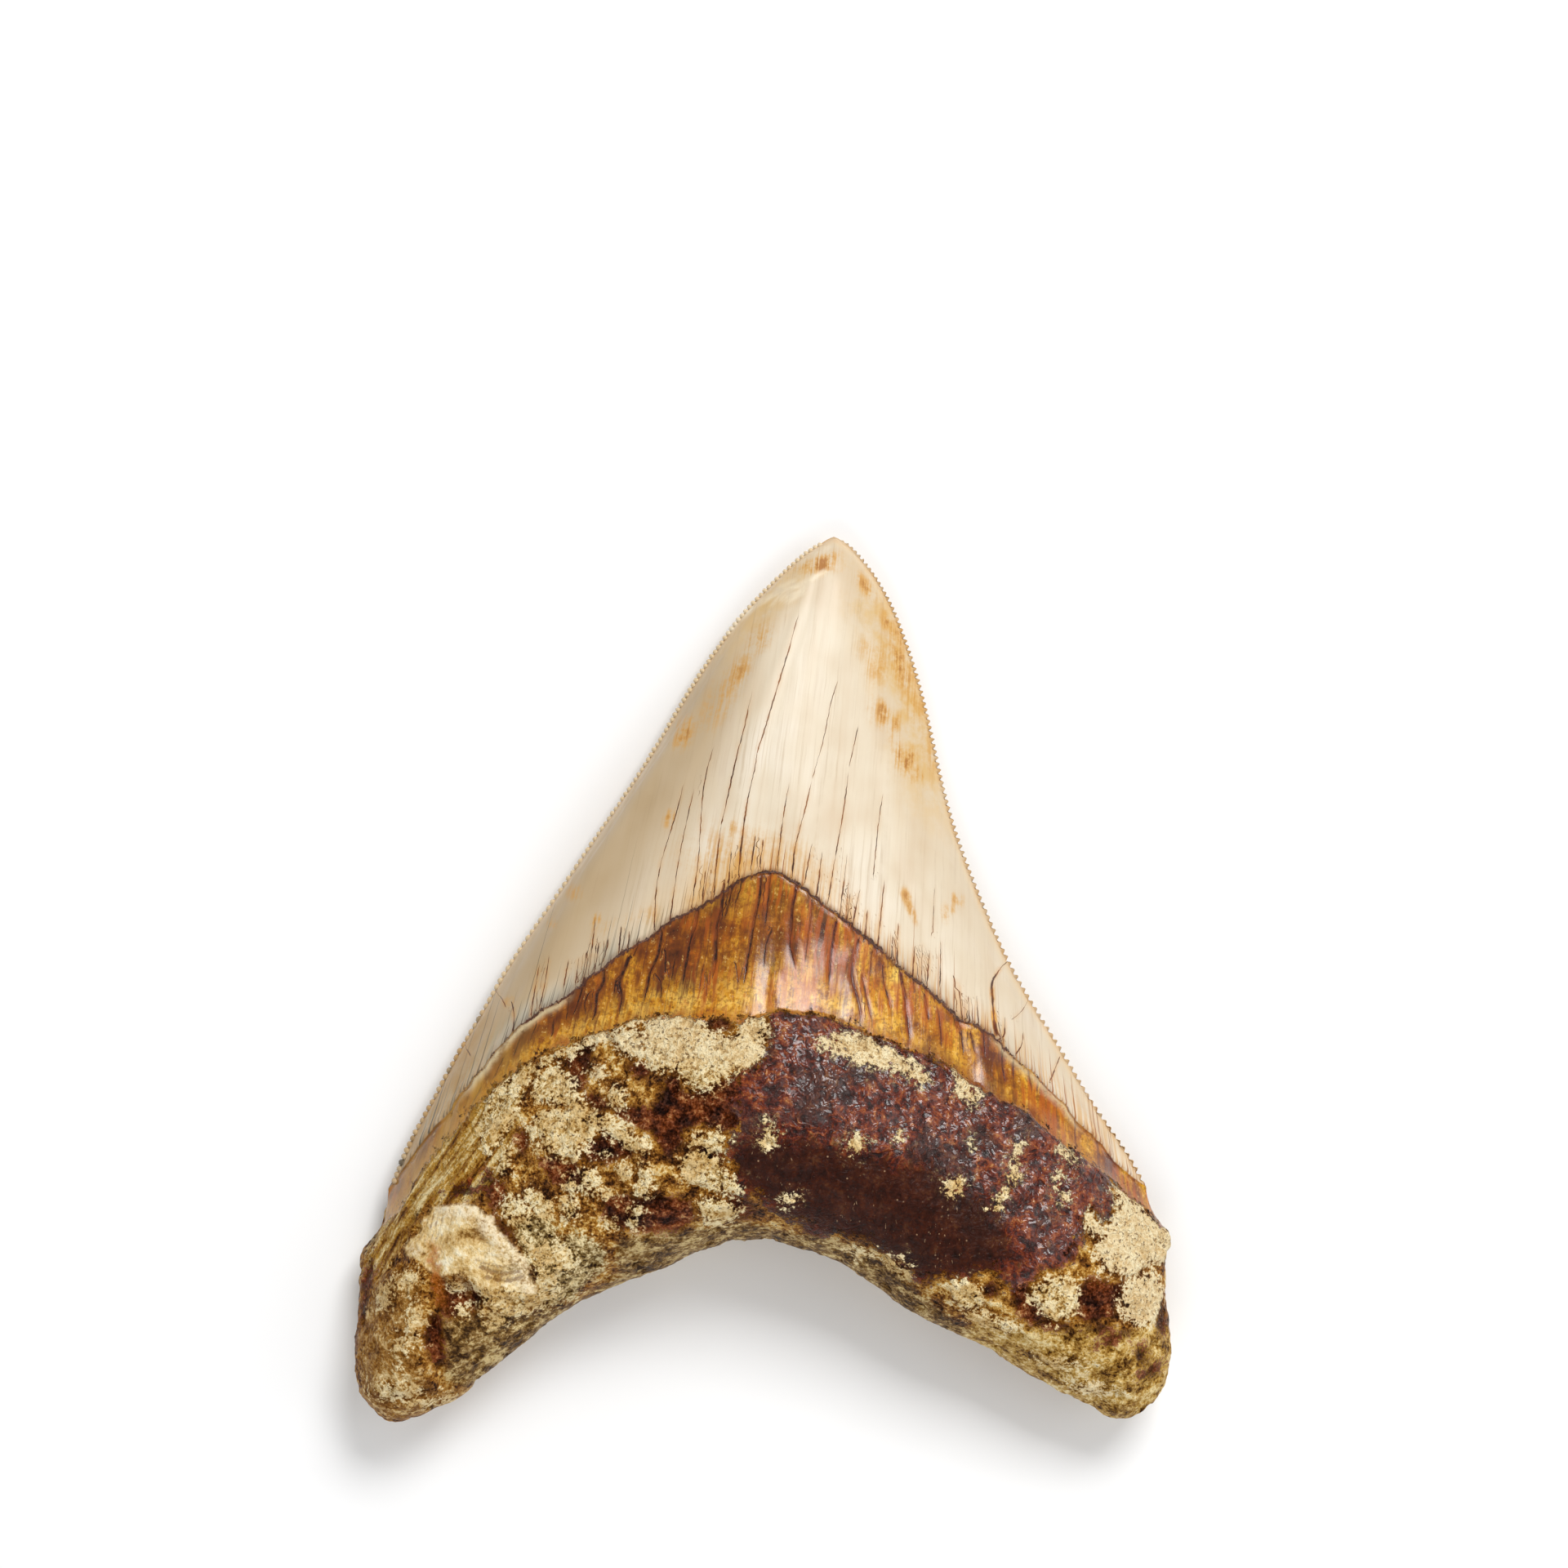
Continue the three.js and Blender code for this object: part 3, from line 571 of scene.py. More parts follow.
CREAM = [
    [
        (790, 1262), (797, 1246), (808, 1240), (812, 1230), (820, 1236), (830, 1226), (845, 1221), (853, 1224), (862, 1236),
        (868, 1248), (878, 1258), (900, 1260), (906, 1248), (914, 1236), (928, 1233), (940, 1241), (946, 1254), (938, 1266),
        (930, 1288), (918, 1300), (900, 1302), (886, 1312), (870, 1322), (852, 1322), (838, 1311), (830, 1302), (815, 1306),
        (802, 1299), (793, 1284),
    ],
    [(752, 1262), (775, 1252), (792, 1256), (797, 1285), (780, 1291), (762, 1278)],
    [
        (655, 1306), (672, 1290), (700, 1276), (722, 1266), (742, 1256), (762, 1250), (790, 1242), (790, 1250), (765, 1259),
        (745, 1266), (722, 1278), (700, 1287), (680, 1300), (664, 1313),
    ],
    [
        (600, 1338), (615, 1322), (632, 1315), (648, 1304), (656, 1314), (645, 1335), (636, 1356), (622, 1382), (608, 1402),
        (598, 1400), (595, 1368),
    ],
    [
        (656, 1320), (668, 1306), (690, 1300), (706, 1312), (713, 1330), (722, 1345), (745, 1354), (765, 1363), (785, 1378),
        (804, 1396), (792, 1404), (770, 1389), (745, 1373), (722, 1361), (700, 1347), (682, 1343), (662, 1341),
    ],
    [
        (664, 1356), (690, 1346), (718, 1352), (740, 1366), (732, 1382), (720, 1392), (714, 1404), (700, 1410), (684, 1402),
        (670, 1388), (662, 1372),
    ],
    [(653, 1373), (662, 1375), (671, 1397), (662, 1399)],
    [(622, 1400), (635, 1397), (633, 1424), (620, 1431), (615, 1420)],
    [(723, 1303), (744, 1297), (749, 1306), (736, 1314)],
    (760, 1331, 10, 13),
    [
        (832, 1412), (842, 1398), (856, 1390), (870, 1395), (885, 1408), (900, 1428), (906, 1440), (888, 1446), (872, 1441),
        (860, 1435), (850, 1435), (838, 1425),
    ],
    [(845, 1388), (855, 1375), (880, 1371), (893, 1380), (885, 1395), (868, 1393)],
    [(856, 1456), (875, 1449), (895, 1455), (907, 1466), (896, 1483), (876, 1487), (860, 1472)],
    [(790, 1411), (800, 1412), (801, 1440), (806, 1448), (795, 1452), (783, 1446), (784, 1425)],
    (769, 1419, 9, 9), (728, 1429, 11, 13),
    [(654, 1441), (670, 1447), (685, 1460), (680, 1475), (667, 1477), (655, 1463), (648, 1450)],
    [(692, 1454), (710, 1451), (718, 1468), (708, 1480), (695, 1477)],
    (735, 1447, 14, 5), (785, 1469, 8, 7), (755, 1486, 7, 6), (779, 1481, 6, 7), (745, 1400, 6, 4), (706, 1440, 5, 8),
    [(934, 1376), (942, 1362), (951, 1368), (960, 1374), (951, 1391), (938, 1386)],
    (1048, 1388, 10, 9), (1167, 1438, 11, 9, -30), (1185, 1391, 5, 6), (968, 1456, 5, 4), (1098, 1383, 4, 4),
    [
        (1000, 1264), (1020, 1255), (1045, 1256), (1065, 1262), (1085, 1272), (1100, 1285), (1116, 1295), (1131, 1305),
        (1136, 1316), (1120, 1321), (1104, 1312), (1088, 1299), (1060, 1300), (1040, 1292), (1020, 1280), (1005, 1273),
    ],
    [(1164, 1303), (1176, 1310), (1190, 1325), (1199, 1336), (1196, 1349), (1184, 1348), (1172, 1338), (1167, 1324)],
    [
        (1238, 1391), (1246, 1393), (1244, 1412), (1243, 1428), (1237, 1445), (1228, 1457), (1218, 1463), (1214, 1471),
        (1206, 1467), (1211, 1455), (1222, 1447), (1230, 1436), (1235, 1420), (1236, 1405),
    ],
    [(1291, 1391), (1305, 1401), (1316, 1412), (1313, 1426), (1300, 1416), (1291, 1405)],
    (1295, 1460, 7, 7), (1289, 1438, 5, 5),
    [(1320, 1478), (1330, 1473), (1336, 1490), (1343, 1501), (1330, 1504), (1321, 1495)],
    [
        (1356, 1451), (1368, 1455), (1381, 1463), (1396, 1475), (1411, 1486), (1426, 1498), (1436, 1515), (1434, 1535),
        (1426, 1548), (1402, 1546), (1385, 1554), (1364, 1554), (1345, 1546), (1334, 1530), (1337, 1510), (1349, 1500),
        (1357, 1486), (1364, 1476), (1360, 1463),
    ],
    [(1374, 1561), (1395, 1552), (1413, 1556), (1423, 1576), (1418, 1600), (1405, 1614), (1385, 1612), (1368, 1600), (1364, 1580)],
    [(1256, 1572), (1262, 1561), (1276, 1552), (1296, 1551), (1311, 1558), (1313, 1580), (1306, 1596), (1290, 1603), (1277, 1600), (1267, 1586)],
    [(1178, 1590), (1200, 1596), (1225, 1603), (1240, 1612), (1225, 1620), (1200, 1612), (1181, 1604)],
    [(1155, 1560), (1175, 1554), (1196, 1564), (1203, 1580), (1190, 1592), (1170, 1587)],
    [
        (560, 1545), (585, 1556), (600, 1578), (622, 1596), (650, 1598), (672, 1586), (690, 1568), (684, 1545), (668, 1528),
        (655, 1516), (662, 1545), (650, 1580), (625, 1590), (606, 1580), (592, 1560), (572, 1545),
    ],
    [
        (598, 1560), (622, 1556), (650, 1560), (664, 1556), (676, 1572), (664, 1588), (646, 1596), (628, 1600), (610, 1594), (598, 1578),
    ],
    [(648, 1500), (664, 1512), (676, 1530), (688, 1548), (684, 1566), (670, 1566), (664, 1545), (654, 1522)],
    (600, 1590, 10, 7, 20), (618, 1604, 12, 6, 10), (575, 1596, 7, 6), (566, 1560, 9, 6, 20), (505, 1560, 16, 12, -30), (480, 1580, 12, 14),
    (516, 1604, 9, 22, 5), (500, 1640, 8, 14), (478, 1690, 16, 12), (528, 1706, 26, 8, -8), (640, 1470, 14, 18, -35), (690, 1525, 26, 16, 30),
    (1095, 1538, 12, 6, 20), (1055, 1525, 12, 6, 10), (1290, 1655, 20, 7, 10), (1330, 1690, 22, 7, 10), (503, 1690, 18, 9, 10),
]
GREY = [
    [
        (636, 1476), (655, 1482), (690, 1498), (730, 1498), (750, 1520), (742, 1545), (722, 1562), (705, 1584), (680, 1592),
        (662, 1589), (668, 1560), (655, 1530), (640, 1508),
    ],
    [(640, 1500), (652, 1470), (680, 1480), (690, 1500), (660, 1510)],
]
RUST = [
    [(693, 1291), (708, 1278), (722, 1268), (738, 1269), (727, 1290), (724, 1310), (720, 1327), (708, 1332), (699, 1316)],
    (736, 1340, 19, 10, 15),
    [
        (752, 1345), (772, 1345), (800, 1345), (812, 1328), (822, 1305), (836, 1307), (843, 1325), (860, 1322), (884, 1314),
        (902, 1298), (912, 1330), (905, 1371), (882, 1370), (860, 1364), (842, 1371), (838, 1393), (822, 1407), (810, 1389),
        (800, 1373), (775, 1363), (757, 1356),
    ],
    [(716, 1403), (731, 1382), (748, 1373), (772, 1379), (789, 1392), (777, 1402), (760, 1407), (744, 1412), (728, 1411)],
    [(663, 1405), (690, 1404), (714, 1411), (722, 1430), (720, 1448), (700, 1447), (684, 1437), (669, 1421)],
    (615, 1452, 11, 17), (646, 1388, 8, 14), (604, 1432, 9, 11), (575, 1448, 28, 9, -8), (760, 1262, 7, 12), (790, 1300, 16, 12),
    [(742, 1455), (765, 1448), (800, 1450), (832, 1447), (851, 1455), (854, 1475), (838, 1493), (800, 1495), (765, 1493), (744, 1478)],
    [(1310, 1560), (1335, 1553), (1357, 1560), (1372, 1557), (1375, 1571), (1363, 1586), (1359, 1603), (1335, 1608), (1311, 1602), (1306, 1586)],
    [(1231, 1551), (1250, 1549), (1262, 1580), (1276, 1600), (1262, 1608), (1240, 1600), (1233, 1575)],
    (1280, 1607, 28, 8, 8), (1418, 1590, 9, 17), (1422, 1614, 8, 13), (1395, 1650, 9, 13), (1405, 1672, 17, 8, -30), (1355, 1628, 22, 7, -20),
    (1340, 1616, 16, 8), (1300, 1520, 16, 12, -20), (1208, 1566, 9, 9),
    (560, 1580, 20, 22), (545, 1562, 10, 15), (584, 1578, 14, 24, -20), (624, 1489, 6, 15, -45),
    [(527, 1600), (549, 1596), (550, 1625), (554, 1650), (546, 1668), (535, 1652), (527, 1626)],
    (450, 1575, 6, 60, 8), (880, 1245, 22, 10, 5), (885, 1340, 26, 34, 10), (868, 1400, 24, 16, 20), (905, 1462, 26, 14, 25),
]
MAROON = [
    [
        (940, 1241), (950, 1233), (975, 1230), (1000, 1235), (1020, 1245), (1036, 1238), (1042, 1247), (1060, 1254), (1100, 1274),
        (1130, 1279), (1155, 1291), (1165, 1303), (1195, 1310), (1235, 1333), (1270, 1353), (1300, 1383), (1330, 1403),
        (1358, 1434), (1364, 1470), (1353, 1491), (1340, 1489), (1330, 1470), (1318, 1480), (1320, 1500), (1305, 1520),
        (1295, 1540), (1270, 1550), (1250, 1560), (1235, 1561), (1205, 1546), (1160, 1549), (1125, 1553), (1100, 1543),
        (1078, 1523), (1060, 1506), (1020, 1498), (985, 1496), (972, 1481), (945, 1471), (930, 1451), (902, 1441),
        (905, 1425), (895, 1405), (893, 1380), (905, 1368), (903, 1330), (900, 1300), (918, 1300), (930, 1290),
        (936, 1268), (946, 1254),
    ]
]
CORE = [
    [
        (903, 1390), (960, 1380), (1010, 1392), (1045, 1398), (1085, 1408), (1130, 1424), (1160, 1444), (1200, 1468),
        (1225, 1500), (1235, 1530), (1205, 1546), (1160, 1549), (1125, 1552), (1100, 1542), (1078, 1523), (1060, 1506),
        (1020, 1498), (985, 1494), (960, 1470), (925, 1440), (900, 1420),
    ]
]
SHELL = [
    [
        (530, 1472), (546, 1467), (566, 1465), (590, 1465), (603, 1474), (616, 1487), (629, 1499), (642, 1514), (654, 1532),
        (662, 1552), (660, 1566), (645, 1562), (622, 1560), (604, 1562), (590, 1553), (570, 1547),
        (548, 1551), (531, 1546), (524, 1532), (503, 1533), (502, 1516), (514, 1504), (524, 1494),
    ]
]
LOBE = [
    [
        (478, 1548), (506, 1538), (524, 1560), (529, 1590), (522, 1622), (526, 1660), (541, 1686), (579, 1690), (576, 1706),
        (541, 1720), (515, 1733), (480, 1733), (461, 1718), (448, 1702), (444, 1650), (448, 1600), (459, 1568),
    ]
]
OLIVE = [
    [(548, 1602), (600, 1594), (665, 1592), (705, 1588), (755, 1555), (815, 1530), (800, 1560), (700, 1630), (600, 1695), (556, 1690), (551, 1650)],
    [(760, 1500), (860, 1490), (905, 1482), (940, 1492), (990, 1498), (1050, 1512), (1100, 1550), (1160, 1600), (1210, 1640), (1100, 1620), (900, 1530), (760, 1570)],
]
TAN = [
    [
        (1190, 1606), (1250, 1612), (1320, 1612), (1380, 1618), (1420, 1600), (1440, 1640), (1432, 1700), (1400, 1735), (1350, 1740),
        (1290, 1715), (1230, 1675), (1180, 1640),
    ]
]
STREAKY = [
    [
        (540, 1385), (600, 1308), (655, 1296), (642, 1360), (618, 1440), (585, 1462), (530, 1470), (505, 1512), (474, 1550),
        (444, 1575), (448, 1530), (470, 1495), (500, 1445),
    ]
]


def ragged(size, amount, seed):
    return amount * fbm(co, size, 3, seed, 0.6)


maroon = np.where(top, region(MAROON), -3 + 3 * fbm(co, 18, 2, 70)) + ragged(3.4, 2.0, 22) + ragged(1.3, 0.7, 82)
core = np.where(top, region(CORE), -6) + ragged(4, 1.0, 23)
cream = np.where(top, region(CREAM), -0.3 + 4 * fbm(co, 12, 3, 71)) + ragged(1.9, 0.6, 21)
rust = np.where(top, region(RUST), -1.2 + 4 * fbm(co, 9, 3, 77)) + ragged(2.1, 0.7, 24)
grey = np.where(top, region(GREY), -6) + ragged(2, 0.8, 25)
shell = region(SHELL) + ragged(2.2, 0.25, 26)
lobe = region(LOBE) + ragged(3, 0.5, 27)
olive = np.where(top, region(OLIVE), 4 * fbm(co, 15, 2, 78)) + ragged(3, 0.9, 28)
tan = np.where(top, region(TAN), 3 * fbm(co, 15, 2, 79)) + ragged(3, 0.9, 29)
streaky = region(STREAKY) + ragged(3, 0.7, 30)
band = np.where((neck > 0) & (enamel < 0), neck / (neck - enamel + 1e-9), (enamel >= 0) * 1.0)

# ---------------------------------------------------------------- cracks, as drawn lines that start at the enamel's edge
CRACKS = [  # places, strength, of the enamel
    ([(804, 1133), (809, 1068), (827, 1005), (840, 954)], 0.55), ([(823, 1126), (834, 1048), (854, 954)], 0.4),
    ([(849, 1108), (858, 1036), (863, 965), (877, 909)], 0.55), ([(876, 1090), (879, 1050), (885, 1007)], 0.75),
    ([(885, 1007), (892, 976), (905, 918), (911, 896), (923, 840)], 0.85), ([(905, 1070), (914, 992), (923, 949), (928, 920)], 1.0),
    ([(928, 920), (936, 896), (948, 856), (962, 810), (969, 785), (980, 745)], 0.7), ([(931, 1061), (935, 1025)], 0.6),
    ([(952, 1059), (959, 1001), (967, 956)], 0.6), ([(970, 1070), (974, 1034), (985, 992), (994, 954)], 0.7),
    ([(994, 954), (1008, 905), (1017, 862), (1027, 830)], 0.4), ([(985, 1077), (994, 1030)], 0.55),
    ([(1013, 1101), (1025, 1030), (1032, 992), (1039, 938)], 0.55), ([(1039, 938), (1051, 887)], 0.35), ([(1027, 1117), (1037, 1041)], 0.5),
    ([(1072, 1159), (1082, 1072)], 0.55), ([(1068, 1070), (1075, 1005), (1081, 969)], 0.45), ([(1096, 1175), (1098, 1126)], 0.55),
    ([(1115, 1190), (1118, 1154)], 0.5), ([(1132, 1205), (1136, 1160)], 0.5), ([(1148, 1216), (1150, 1147)], 0.45),
    ([(1140, 1140), (1143, 1082)], 0.3), ([(1175, 1241), (1170, 1194)], 0.5),
    ([(1217, 1263), (1214, 1240), (1213, 1212), (1214, 1200), (1222, 1189), (1236, 1177)], 1.7), ([(1222, 1268), (1227, 1262), (1228, 1240)], 0.5),
    ([(1240, 1245), (1252, 1236), (1262, 1223)], 0.35), ([(1242, 1286), (1249, 1275), (1251, 1262)], 0.4), ([(1284, 1320), (1300, 1293)], 0.5),
    ([(606, 1214), (616, 1222), (623, 1233)], 0.45), ([(632, 1262), (633, 1240), (628, 1222)], 0.5), ([(568, 1279), (579, 1293)], 0.4),
    ([(654, 1240), (659, 1205), (664, 1176)], 0.5), ([(664, 1232), (671, 1200), (676, 1165)], 0.5), ([(693, 1212), (700, 1170)], 0.35),
    ([(708, 1202), (713, 1168)], 0.4), ([(717, 1196), (722, 1160)], 0.4), ([(724, 1190), (729, 1152), (732, 1124)], 0.55),
    ([(732, 1184), (737, 1150)], 0.45), ([(742, 1176), (749, 1145)], 0.45), ([(761, 1162), (764, 1130)], 0.45), ([(772, 1158), (774, 1136)], 0.3),
    ([(1057, 1147), (1061, 1110)], 0.5), ([(1042, 1132), (1052, 1085)], 0.5), ([(1035, 1126), (1040, 1090)], 0.45),
    ([(920, 1063), (926, 1020)], 0.6), ([(893, 1080), (897, 1040)], 0.5), ([(1000, 1092), (1006, 1040)], 0.5),
    ([(862, 1098), (866, 1062)], 0.4), ([(1165, 1232), (1167, 1205), (1164, 1190)], 0.4), ([(1184, 1247), (1183, 1215)], 0.4),
    ([(1195, 1248), (1193, 1215)], 0.35), ([(1126, 1198), (1127, 1150)], 0.35), ([(1089, 1170), (1091, 1140)], 0.3),
]
SEAMS = [  # of the neck band
    ([(812, 1137), (811, 1150), (806, 1170), (799, 1185), (796, 1200), (790, 1228)], 0.8),
    ([(856, 1112), (853, 1130), (847, 1150), (843, 1170), (840, 1185), (838, 1204)], 0.9),
    ([(888, 1082), (884, 1110), (879, 1130), (878, 1150), (877, 1175), (873, 1195)], 1.0),
    ([(898, 1080), (894, 1100), (888, 1122)], 0.6), ([(910, 1072), (906, 1090), (900, 1106)], 0.4),
    ([(933, 1068), (930, 1098), (924, 1125), (921, 1145), (917, 1165), (914, 1185), (911, 1202)], 0.85),
    ([(943, 1067), (941, 1098), (937, 1130)], 0.75), ([(945, 1136), (938, 1155), (936, 1182)], 0.5),
    ([(976, 1083), (970, 1108), (969, 1130), (967, 1150), (970, 1168), (975, 1184)], 0.95),
    ([(994, 1100), (991, 1130), (988, 1150), (985, 1178)], 0.55),
    ([(1023, 1126), (1019, 1150), (1017, 1175), (1014, 1202)], 0.85),
    ([(1050, 1148), (1044, 1170), (1042, 1190), (1047, 1210), (1052, 1232), (1051, 1248)], 0.8),
    ([(1054, 1190), (1058, 1208), (1062, 1225), (1066, 1246)], 0.6), ([(1066, 1162), (1064, 1192)], 0.45),
    ([(1079, 1178), (1081, 1200), (1086, 1215), (1089, 1232)], 0.55),
    ([(1101, 1188), (1106, 1213), (1108, 1230), (1110, 1250), (1112, 1270)], 0.85), ([(1117, 1200), (1118, 1212)], 0.4),
    ([(1130, 1213), (1133, 1233), (1135, 1244)], 0.7), ([(1146, 1232), (1149, 1253), (1150, 1278)], 0.55),
    ([(1165, 1240), (1170, 1256)], 0.5), ([(1172, 1247), (1175, 1265), (1177, 1287)], 0.55), ([(1186, 1262), (1191, 1284)], 0.6),
    ([(1202, 1262), (1204, 1292)], 0.45), ([(1224, 1278), (1225, 1300), (1229, 1320)], 0.5), ([(1238, 1296), (1239, 1316)], 0.35),
    ([(1256, 1310), (1262, 1332)], 0.5), ([(785, 1150), (778, 1168)], 0.5),
    ([(773, 1168), (766, 1185), (761, 1200), (764, 1215), (760, 1240)], 0.95), ([(757, 1196), (755, 1212)], 0.5),
    ([(742, 1184), (741, 1200), (734, 1212), (733, 1230), (727, 1247)], 0.85), ([(715, 1205), (712, 1220), (705, 1240)], 0.6),
    ([(724, 1212), (719, 1225), (722, 1238)], 0.45), ([(681, 1246), (679, 1264)], 0.8), ([(817, 1160), (817, 1188)], 0.5),
    ([(806, 1190), (812, 1200), (811, 1220)], 0.5), ([(862, 1180), (858, 1206)], 0.4), ([(868, 1190), (866, 1215)], 0.4),
    ([(902, 1175), (905, 1200)], 0.3), ([(828, 1172), (824, 1196)], 0.4), ([(700, 1222), (696, 1246)], 0.3),
    ([(660, 1250), (652, 1272)], 0.3), ([(640, 1268), (632, 1290)], 0.3), ([(620, 1290), (606, 1318)], 0.35), ([(590, 1330), (578, 1352)], 0.35),
]
crack = np.full(len(q), 5.0)
crack_strength = np.zeros(len(q))
for pts, strength in CRACKS + SEAMS:
    knots = np.arange(len(pts), dtype=float)
    pts = natural(knots, np.array(pts, float), np.linspace(0, knots[-1], 8 * len(pts)))
    lo, hi = pts.min(0) - 16, pts.max(0) + 16
    near = np.where(top & (q > lo).all(1) & (q < hi).all(1))[0]
    if not len(near):
        continue
    qq = q[near]
    best, sign, where = np.full(len(near), 1e9), np.ones(len(near)), np.zeros(len(near))
    n = len(pts) - 1
    for i, (a, b) in enumerate(zip(pts, pts[1:])):
        ab = b - a
        w = np.clip(((qq - a) @ ab) / (ab @ ab), 0, 1)
        r = qq - a - w[:, None] * ab
        d = np.hypot(*r.T)
        better = d < best
        best = np.where(better, d, best)
        sign = np.where(better, np.sign(ab[0] * r[:, 1] - ab[1] * r[:, 0]), sign)
        where = np.where(better, (i + w) / n, where)
    d = best * PIXEL
    mine = d < np.abs(crack[near])
    fade = smooth(1.02, 0.8, where) * smooth(0.6, 0.34, d)
    crack[near] = np.where(mine, d * sign, crack[near])
    crack_strength[near] = np.where(mine, strength * fade, crack_strength[near])

# ---------------------------------------------------------------- relief, in mm along the surface's normal
root = smooth(0.3, -0.5, neck)  # 1 on the root's crust
crownward = smooth(-0.12, 0.12, enamel)  # 1 on the enamel
warp = np.column_stack([fbm(co, 5, 2, 11), fbm(co, 5, 2, 12), fbm(co, 5, 2, 13)])
pw = co + warp * 1.2
flake = smooth(-0.35, 0.9, shell)
plain = np.maximum(flake, 0.3 * smooth(-0.4, 0.6, lobe))  # smooth parts of the left lobe
crust = smooth(-0.2, 0.35, cream) * root * (1 - flake)
wet = smooth(-0.5, 0.6, maroon) * root * (1 - crust)
calm = smooth(-1.0, 1.2, core) * wet
dark = smooth(-0.2, 0.5, rust) * root * (1 - crust) * (1 - wet)
gritty = root * (1 - wet) * (1 - plain)
d1, d2, who = cells(pw, 1.1, 31)
d1b, d2b, whob = cells(pw, 2.4, 32)
lean = co @ [0.825, -0.565, 0]
relief = root * 0.55 * fbm(co, 11, 2, 41)
relief += root * (1 - 0.85 * calm) * (1 - 0.5 * plain) * 0.32 * fbm(pw, 3.4, 3, 42)
relief += crust * (0.32 + 0.16 * (0.5 - d1)) - dark * 0.18
relief += gritty * (0.26 * fbm(pw, 1.35, 3, 43, 0.75) + 0.10 * (0.5 - d1))
folds = 1 - np.abs(fbm(pw * [1.5, 0.5, 1], 3.2, 2, 44)) * 2.2
wrinkles = 1 - np.abs(fbm(pw * [0.8, 1.25, 1], 1.25, 2, 45, 0.6)) * 2.2
relief += wet * (1 - calm) * (0.30 * folds + 0.17 * wrinkles) + calm * 0.04 * wrinkles
relief -= gritty * 0.55 * smooth(0.5, 0.12, d1b / 2.4) * (whob > 0.68)
relief += smooth(-0.5, 0.8, streaky) * root * 0.32 * fbm(np.column_stack([lean, co[:, 1] * 0.18, co[:, 2] * 0.8]), 1.2, 2, 46)
# the neck band sits a little below the enamel and carries seams and fine ribs
neck_band = (1 - root) * (1 - crownward)
ribs = fbm(np.column_stack([co[:, 0], co[:, 1] * 0.16, co[:, 2] * 0.16]), 0.9, 2, 51)
relief += neck_band * (-0.18 + 0.05 * ribs + 0.12 * fbm(co, 6, 2, 52))
relief -= (1 - root) * crack_strength * np.exp(-((crack / 0.28) ** 2)) * np.where(enamel < 0, 0.10, 0.0)
relief += -0.10 * np.exp(-(((enamel + 0.2) / 0.2) ** 2)) * (SIDE == TOP)
relief += 0.08 * np.exp(-(((enamel - 0.3) / 0.35) ** 2)) * crownward * (SIDE == TOP)
# a pale raised lip runs along the enamel's edge on the left, and a thin one on the far right
lip = np.maximum(smooth(560, 590, px) * smooth(712, 685, px), 0.7 * smooth(1205, 1225, px) * smooth(1330, 1300, px))
lip = lip * np.exp(-(((enamel + 0.42) / 0.36) ** 2)) * (SIDE == TOP)
relief += 0.32 * lip
relief += crownward * 0.04 * fbm(np.column_stack([co[:, 0], co[:, 1] * 0.25, co[:, 2] * 0.3]), 5, 2, 53)
# the flake: a chipped, shell-like plate with a raised rim on its right, and folds across it
swell = smooth(80, 20, np.hypot(px - 602, (py - 1530) * 1.05)) * top
relief += swell * 0.35 + flake * (0.10 + 0.5 * fbm(co, 4, 3, 61)) * smooth(520, 560, px)
relief += 0.34 * along_line([(556, 1472), (580, 1473), (600, 1482), (614, 1497), (630, 1514), (646, 1540), (652, 1566)], 20) ** 1.2
relief += 0.5 * along_line([(612, 1568), (630, 1566), (650, 1572), (640, 1590), (618, 1588)], 12) * (0.5 + fbm(co, 1.5, 2, 63))
relief += 0.2 * along_line([(586, 1500), (600, 1498), (616, 1506), (622, 1518), (606, 1524)], 9)
relief -= 0.25 * along_line([(594, 1508), (604, 1508), (610, 1515)], 8)
for k in range(6):
    relief -= 0.13 * along_line([(532 + 6 * k, 1474 + k), (527 + 6 * k, 1492 + k), (520 + 6 * k, 1510 + k)], 4)
relief -= 0.30 * along_line([(598, 1541), (622, 1547), (642, 1540)], 8)
relief += 0.14 * along_line([(598, 1530), (622, 1537), (645, 1530)], 7)
relief -= 0.14 * along_line([(606, 1551), (626, 1556), (646, 1550)], 5)
relief -= 0.10 * along_line([(600, 1524), (622, 1530), (640, 1524)], 5)
relief -= 0.25 * along_line([(606, 1478), (622, 1486), (638, 1500)], 6)
relief -= 0.30 * along_line([(530, 1520), (540, 1550), (534, 1580)], 10)
relief += 0.4 * smooth(-1.0, 0.8, signed_ellipse(517, 1522, 16, 14))
relief -= 0.9 * smooth(-0.6, 1.0, signed_ellipse(582, 1577, 17, 22, -20)) * root
relief -= 0.5 * smooth(-0.5, 0.8, signed_ellipse(553, 1572, 18, 20)) * root
relief += 0.55 * smooth(-1.2, 1.2, lobe) * (0.8 + 0.6 * fbm(co, 6, 2, 62))
relief -= 0.7 * along_line([(536, 1600), (540, 1640), (552, 1680)], 14)
relief -= 0.4 * along_line([(470, 1545), (458, 1600), (452, 1690)], 12)
# nothing of it on the cutting edges
relief *= 1 - smooth(0.97, 1.0, T) * smooth(1.2, 0.2, rim)
relief *= np.where(SIDE == BOTTOM, 0.55, 1.0)
co = co + normals * relief[:, None]
co[:, 2] = np.maximum(0, co[:, 2])

